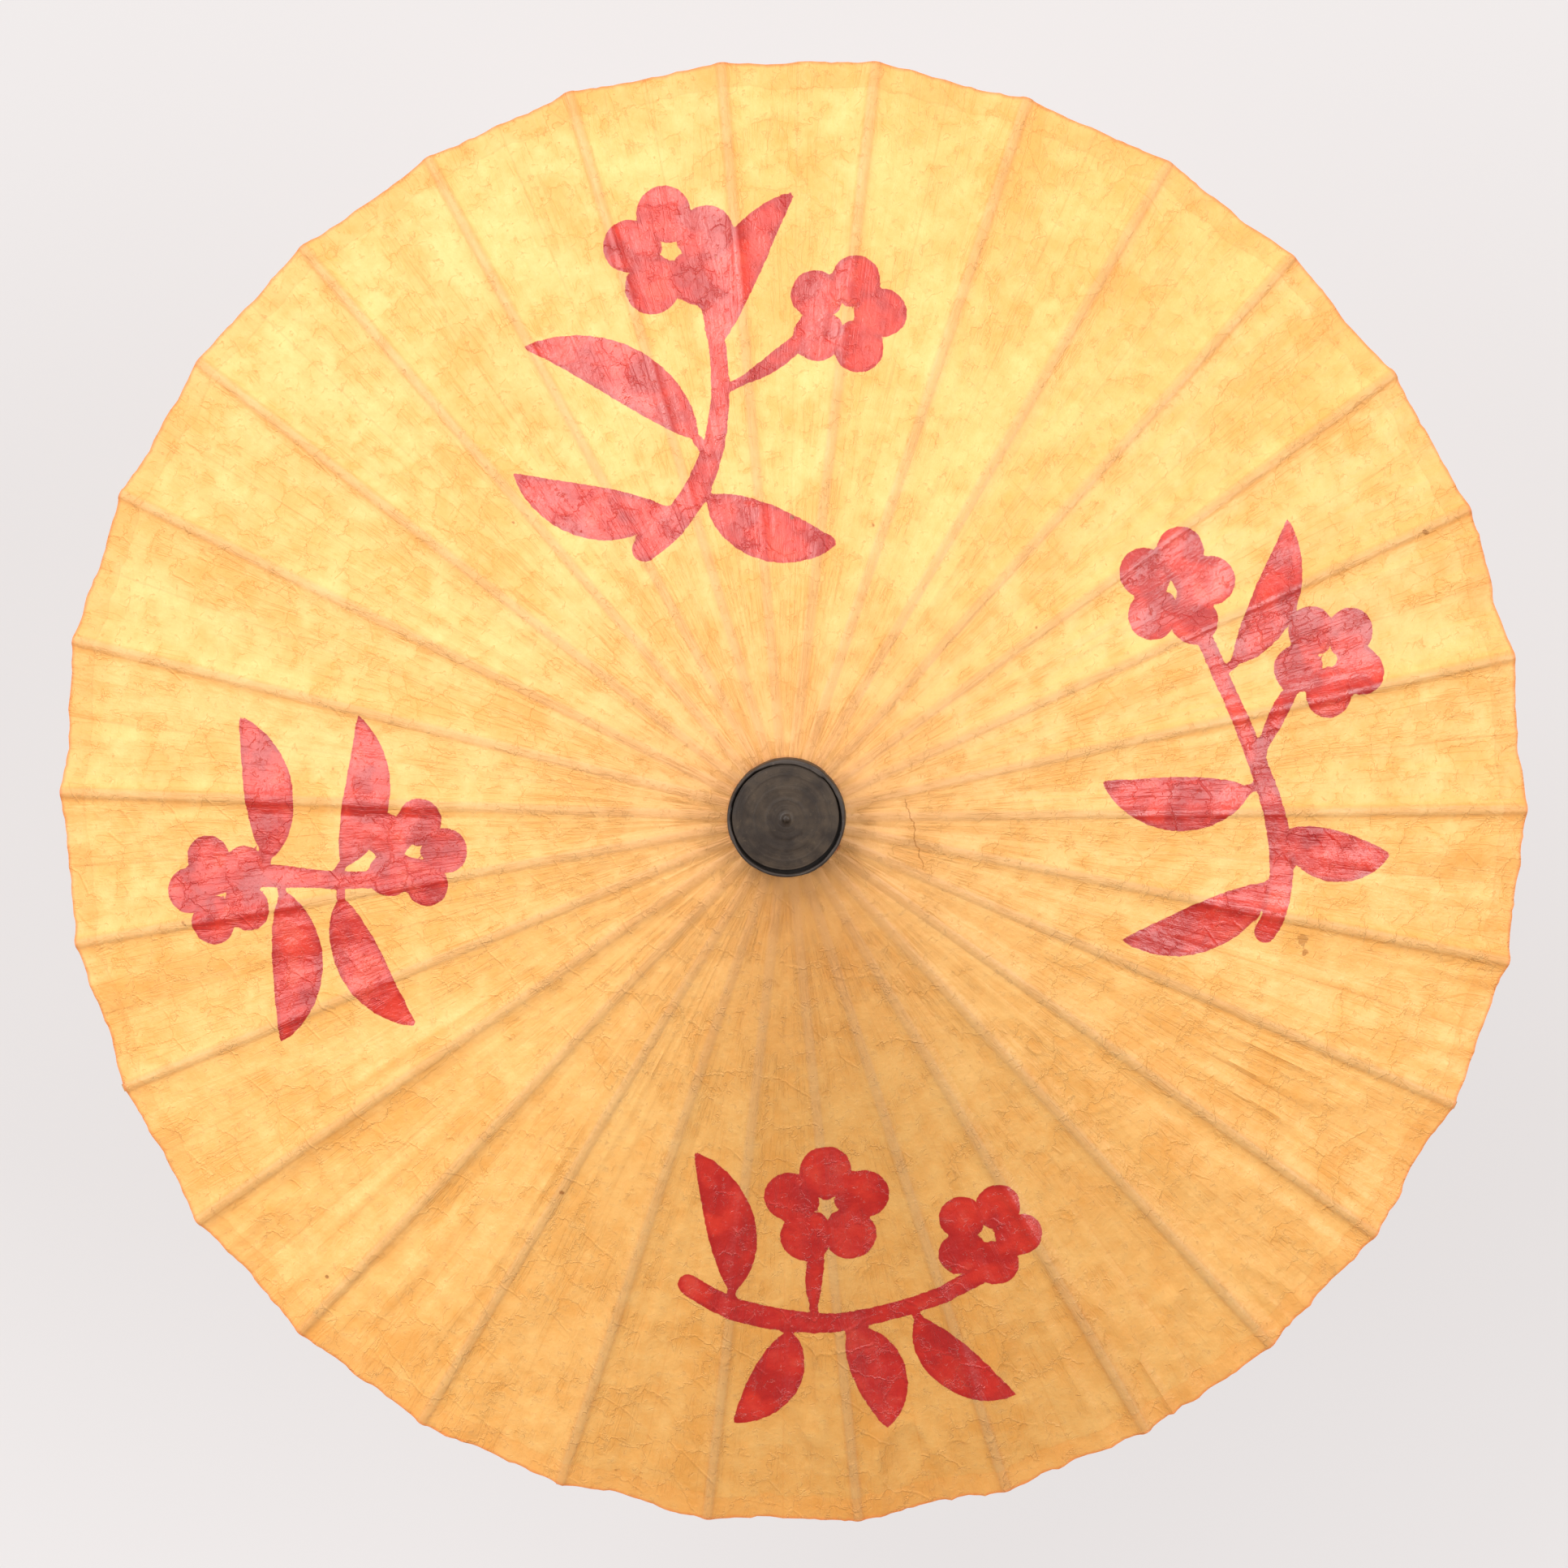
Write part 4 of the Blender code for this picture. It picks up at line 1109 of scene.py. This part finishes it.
def band_warp(points, angles):
    """Uneven rolled lip, and a lap where the strip's end overlies it past the seam."""
    height = points[..., 2] - PIVOT_Z
    radius = np.hypot(points[..., 0], points[..., 1])
    past_seam = np.mod(angles - BAND_SEAM, 2 * math.pi)
    lap = rise(past_seam, 0, 0.05) * clamp((1.25 - past_seam) / 0.5)
    top = rise(height, 14.0, 2.0)
    lip = top * (radius < 30.7)
    outer = radius > 30.8
    turn = angles / (2 * math.pi)
    wobble = 0.16 * noise2(turn * 22, height * 0.25, seed=920, wrap=22)
    wobble = wobble + 0.10 * noise2(turn * 70, height * 0.8, seed=921, wrap=70)
    inward = 0.12 + 0.80 * lap + 0.50 * noise2(turn * 17, 0.5, seed=922, wrap=17)
    inward = inward + 0.2 * noise2(turn * 52, 2.5, seed=926, wrap=52)
    shift = wobble * outer + lap * 0.32 * outer - lip * inward
    points = points.copy()
    points[..., :2] *= (1 + shift / radius)[..., None]
    points[..., 2] += top * (0.14 * noise2(turn * 26, 3.5, seed=923, wrap=26) + 0.16 * lap)
    return points


# the handle's flowing outline before smoothing
HANDLE_KNOTS = np.array([
    (11.2, 8.3), (12.0, 10.0), (12.6, 14.0), (13.0, 24.0), (11.8, 45.0), (11.2, 70.0),
    (11.8, 98.0), (12.9, 114.0), (12.9, 121.0), (11.4, 127.0), (9.9, 130.0),
])
# height, depth, half width
HANDLE_GROOVES = [
    (17.0, 0.7, 0.9), (20.5, 0.7, 0.9), (28.0, 0.5, 0.7), (104.0, 0.5, 0.7),
    (108.0, 0.7, 0.9), (111.5, 0.7, 0.9), (124.0, 0.6, 0.8),
]
HANDLE_FOOT = [(0, 8.32), (10.4, 8.32)]
HANDLE_SOCKET = [(9.6, 129.95), (8.35, 129.95), (8.35, 118.0), (0, 118.0)]


def handle_profile():
    height = np.linspace(8.35, 129.6, 190)
    radius = np.interp(height, HANDLE_KNOTS[:, 1], HANDLE_KNOTS[:, 0])
    radius = np.convolve(np.pad(radius, 5, "edge"), np.ones(11) / 11, "valid")
    for place, depth, half_width in HANDLE_GROOVES:
        radius = radius - depth * np.exp(-(((height - place) / half_width) ** 2))
    return HANDLE_FOOT + list(zip(radius, height)) + HANDLE_SOCKET


END_CAP_PROFILE = [
    (0, 0.0), (8.0, 0.0), (10.6, 0.0), (11.3, 0.25), (11.8, 0.8),
    *smooth_curve([(12.05, 1.6), (12.2, 3.0), (12.1, 5.0), (11.85, 6.4)]),
    (11.4, 7.2), (11.0, 7.5), (11.3, 7.9), (11.2, 8.0), (0, 8.0),
]

fit(turned("cap_lid", lid_profile(), 160, lid_warp), lid_lacquer, "cap_top")
band_profile = above_pivot(smooth_curve(BAND_OUTSIDE) + BAND_INSIDE)
band = turned("cap_band_rolled", band_profile, 240, band_warp, sharp=50)
fit(band, band_lacquer, "cap_band")
fit(turned("handle_turned", handle_profile(), 72), wood, "handle")
fit(turned("end_cap_turned", END_CAP_PROFILE, 72), horn, "end_cap")


# ------------------------------------------------------------------ stretchers between
def copied_stretcher(source):
    """The stretcher of the next rib, shown only here; it goes with the one beside it."""
    copied = source + 1
    mesh = frame["nodes"][f"stretcher_{source + 1:02d}"].data.copy()
    mesh.name = f"stretcher_{copied + 1:02d}_looks"
    mesh.transform(Matrix.Rotation(RIB_STEP, 4, "Z"))
    mesh.materials.clear()
    mesh.materials.append(stretcher_bamboo(copied))
    obj = bpy.data.objects.new(mesh.name, mesh)
    bpy.context.scene.collection.objects.link(obj)
    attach(obj, f"stretcher_{source + 1:02d}_body")
    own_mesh(obj)


for i in range(0, RIBS, 2):
    copied_stretcher(i)

# ------------------------------------------------------------------ stage, in metres
UP = Vector((*VIEW_UP, 0))
RIGHT = Vector((*VIEW_RIGHT, 0))
TOWARD_SKY = Vector((0, 0, 1))
WARM = (1.0, 0.985, 0.965)
WHITE = (1, 1, 1)
# name, direction of the light (up and right in the view, height), angle in degrees, power,
# colour
SUNS = [
    ("key", (0.86, -0.60, 0.90), 30, 2.03, WARM),
    ("top", (0.84, 0.10, 1.0), 36, 0.96, WARM),
    ("left", (0.05, -1.0, 0.95), 36, 1.82, WHITE),
    ("right", (0.12, 1.0, 0.95), 34, 2.3, WHITE),
]


def look_at(obj, target, up):
    backward = (Vector(obj.location) - Vector(target)).normalized()
    right = Vector(up).cross(backward).normalized()
    axes = Matrix((right, backward.cross(right), backward))
    obj.rotation_euler = axes.transposed().to_euler()


def build_floor():
    half = 12
    corners = [(-half, -half, 0), (half, -half, 0), (half, half, 0), (-half, half, 0)]
    mesh = bpy.data.meshes.new("floor")
    mesh.from_pydata(corners, [], [(0, 1, 2, 3)])
    floor = bpy.data.objects.new("floor", mesh)
    floor.location = (0, 0, -0.0005)
    bpy.context.scene.collection.objects.link(floor)
    mat = Nodes("floor_paper")
    mesh.materials.append(mat.finish(mat.principled(
        Base_Color=(0.13, 0.126, 0.126),
        Roughness=0.9,
        Specular_IOR_Level=0.0,
        Emission_Color=(0.66, 0.632, 0.628),
        Emission_Strength=1.0,
    )))


def build_world():
    """A dim even light; the camera sees a pale grey instead."""
    world = bpy.data.worlds.new("studio")
    bpy.context.scene.world = world
    world.use_nodes = True
    nodes, links = world.node_tree.nodes, world.node_tree.links
    light = nodes["Background"]
    light.inputs["Color"].default_value = (1.0, 0.99, 0.985, 1)
    light.inputs["Strength"].default_value = 0.14
    seen = nodes.new("ShaderNodeBackground")
    seen.inputs["Color"].default_value = (0.80, 0.785, 0.785, 1)
    pick = nodes.new("ShaderNodeMixShader")
    path = nodes.new("ShaderNodeLightPath")
    links.new(path.outputs["Is Camera Ray"], pick.inputs[0])
    links.new(light.outputs[0], pick.inputs[1])
    links.new(seen.outputs[0], pick.inputs[2])
    links.new(pick.outputs[0], nodes["World Output"].inputs["Surface"])


def build_suns():
    for name, (up, right, height), angle, power, colour in SUNS:
        data = bpy.data.lights.new(name, "SUN")
        data.angle = math.radians(angle)
        data.energy = power
        data.color = colour
        lamp = bpy.data.objects.new(name, data)
        lamp.location = (UP * up + RIGHT * right + TOWARD_SKY * height).normalized() * 3
        look_at(lamp, (0, 0, 0), up=(0.01, 0.02, 1))
        bpy.context.scene.collection.objects.link(lamp)


def build_camera():
    """Looks down on the canopy, leaning slightly up and right in the view."""
    data = bpy.data.cameras.new("camera")
    data.lens = 85
    data.sensor_width = 36
    data.clip_end = 60
    camera = bpy.data.objects.new("camera", data)
    bpy.context.scene.collection.objects.link(camera)
    target = Vector((0, 0, 0.44)) + UP * 0.0096 - RIGHT * 0.0037
    lean = UP * math.tan(math.radians(3.6))
    direction = (TOWARD_SKY + lean + RIGHT * math.tan(math.radians(1.0))).normalized()
    camera.location = target + direction * 2.115
    look_at(camera, target, up=UP)
    bpy.context.scene.camera = camera


build_floor()
build_world()
build_suns()
build_camera()
bpy.context.scene.view_settings.view_transform = "Standard"
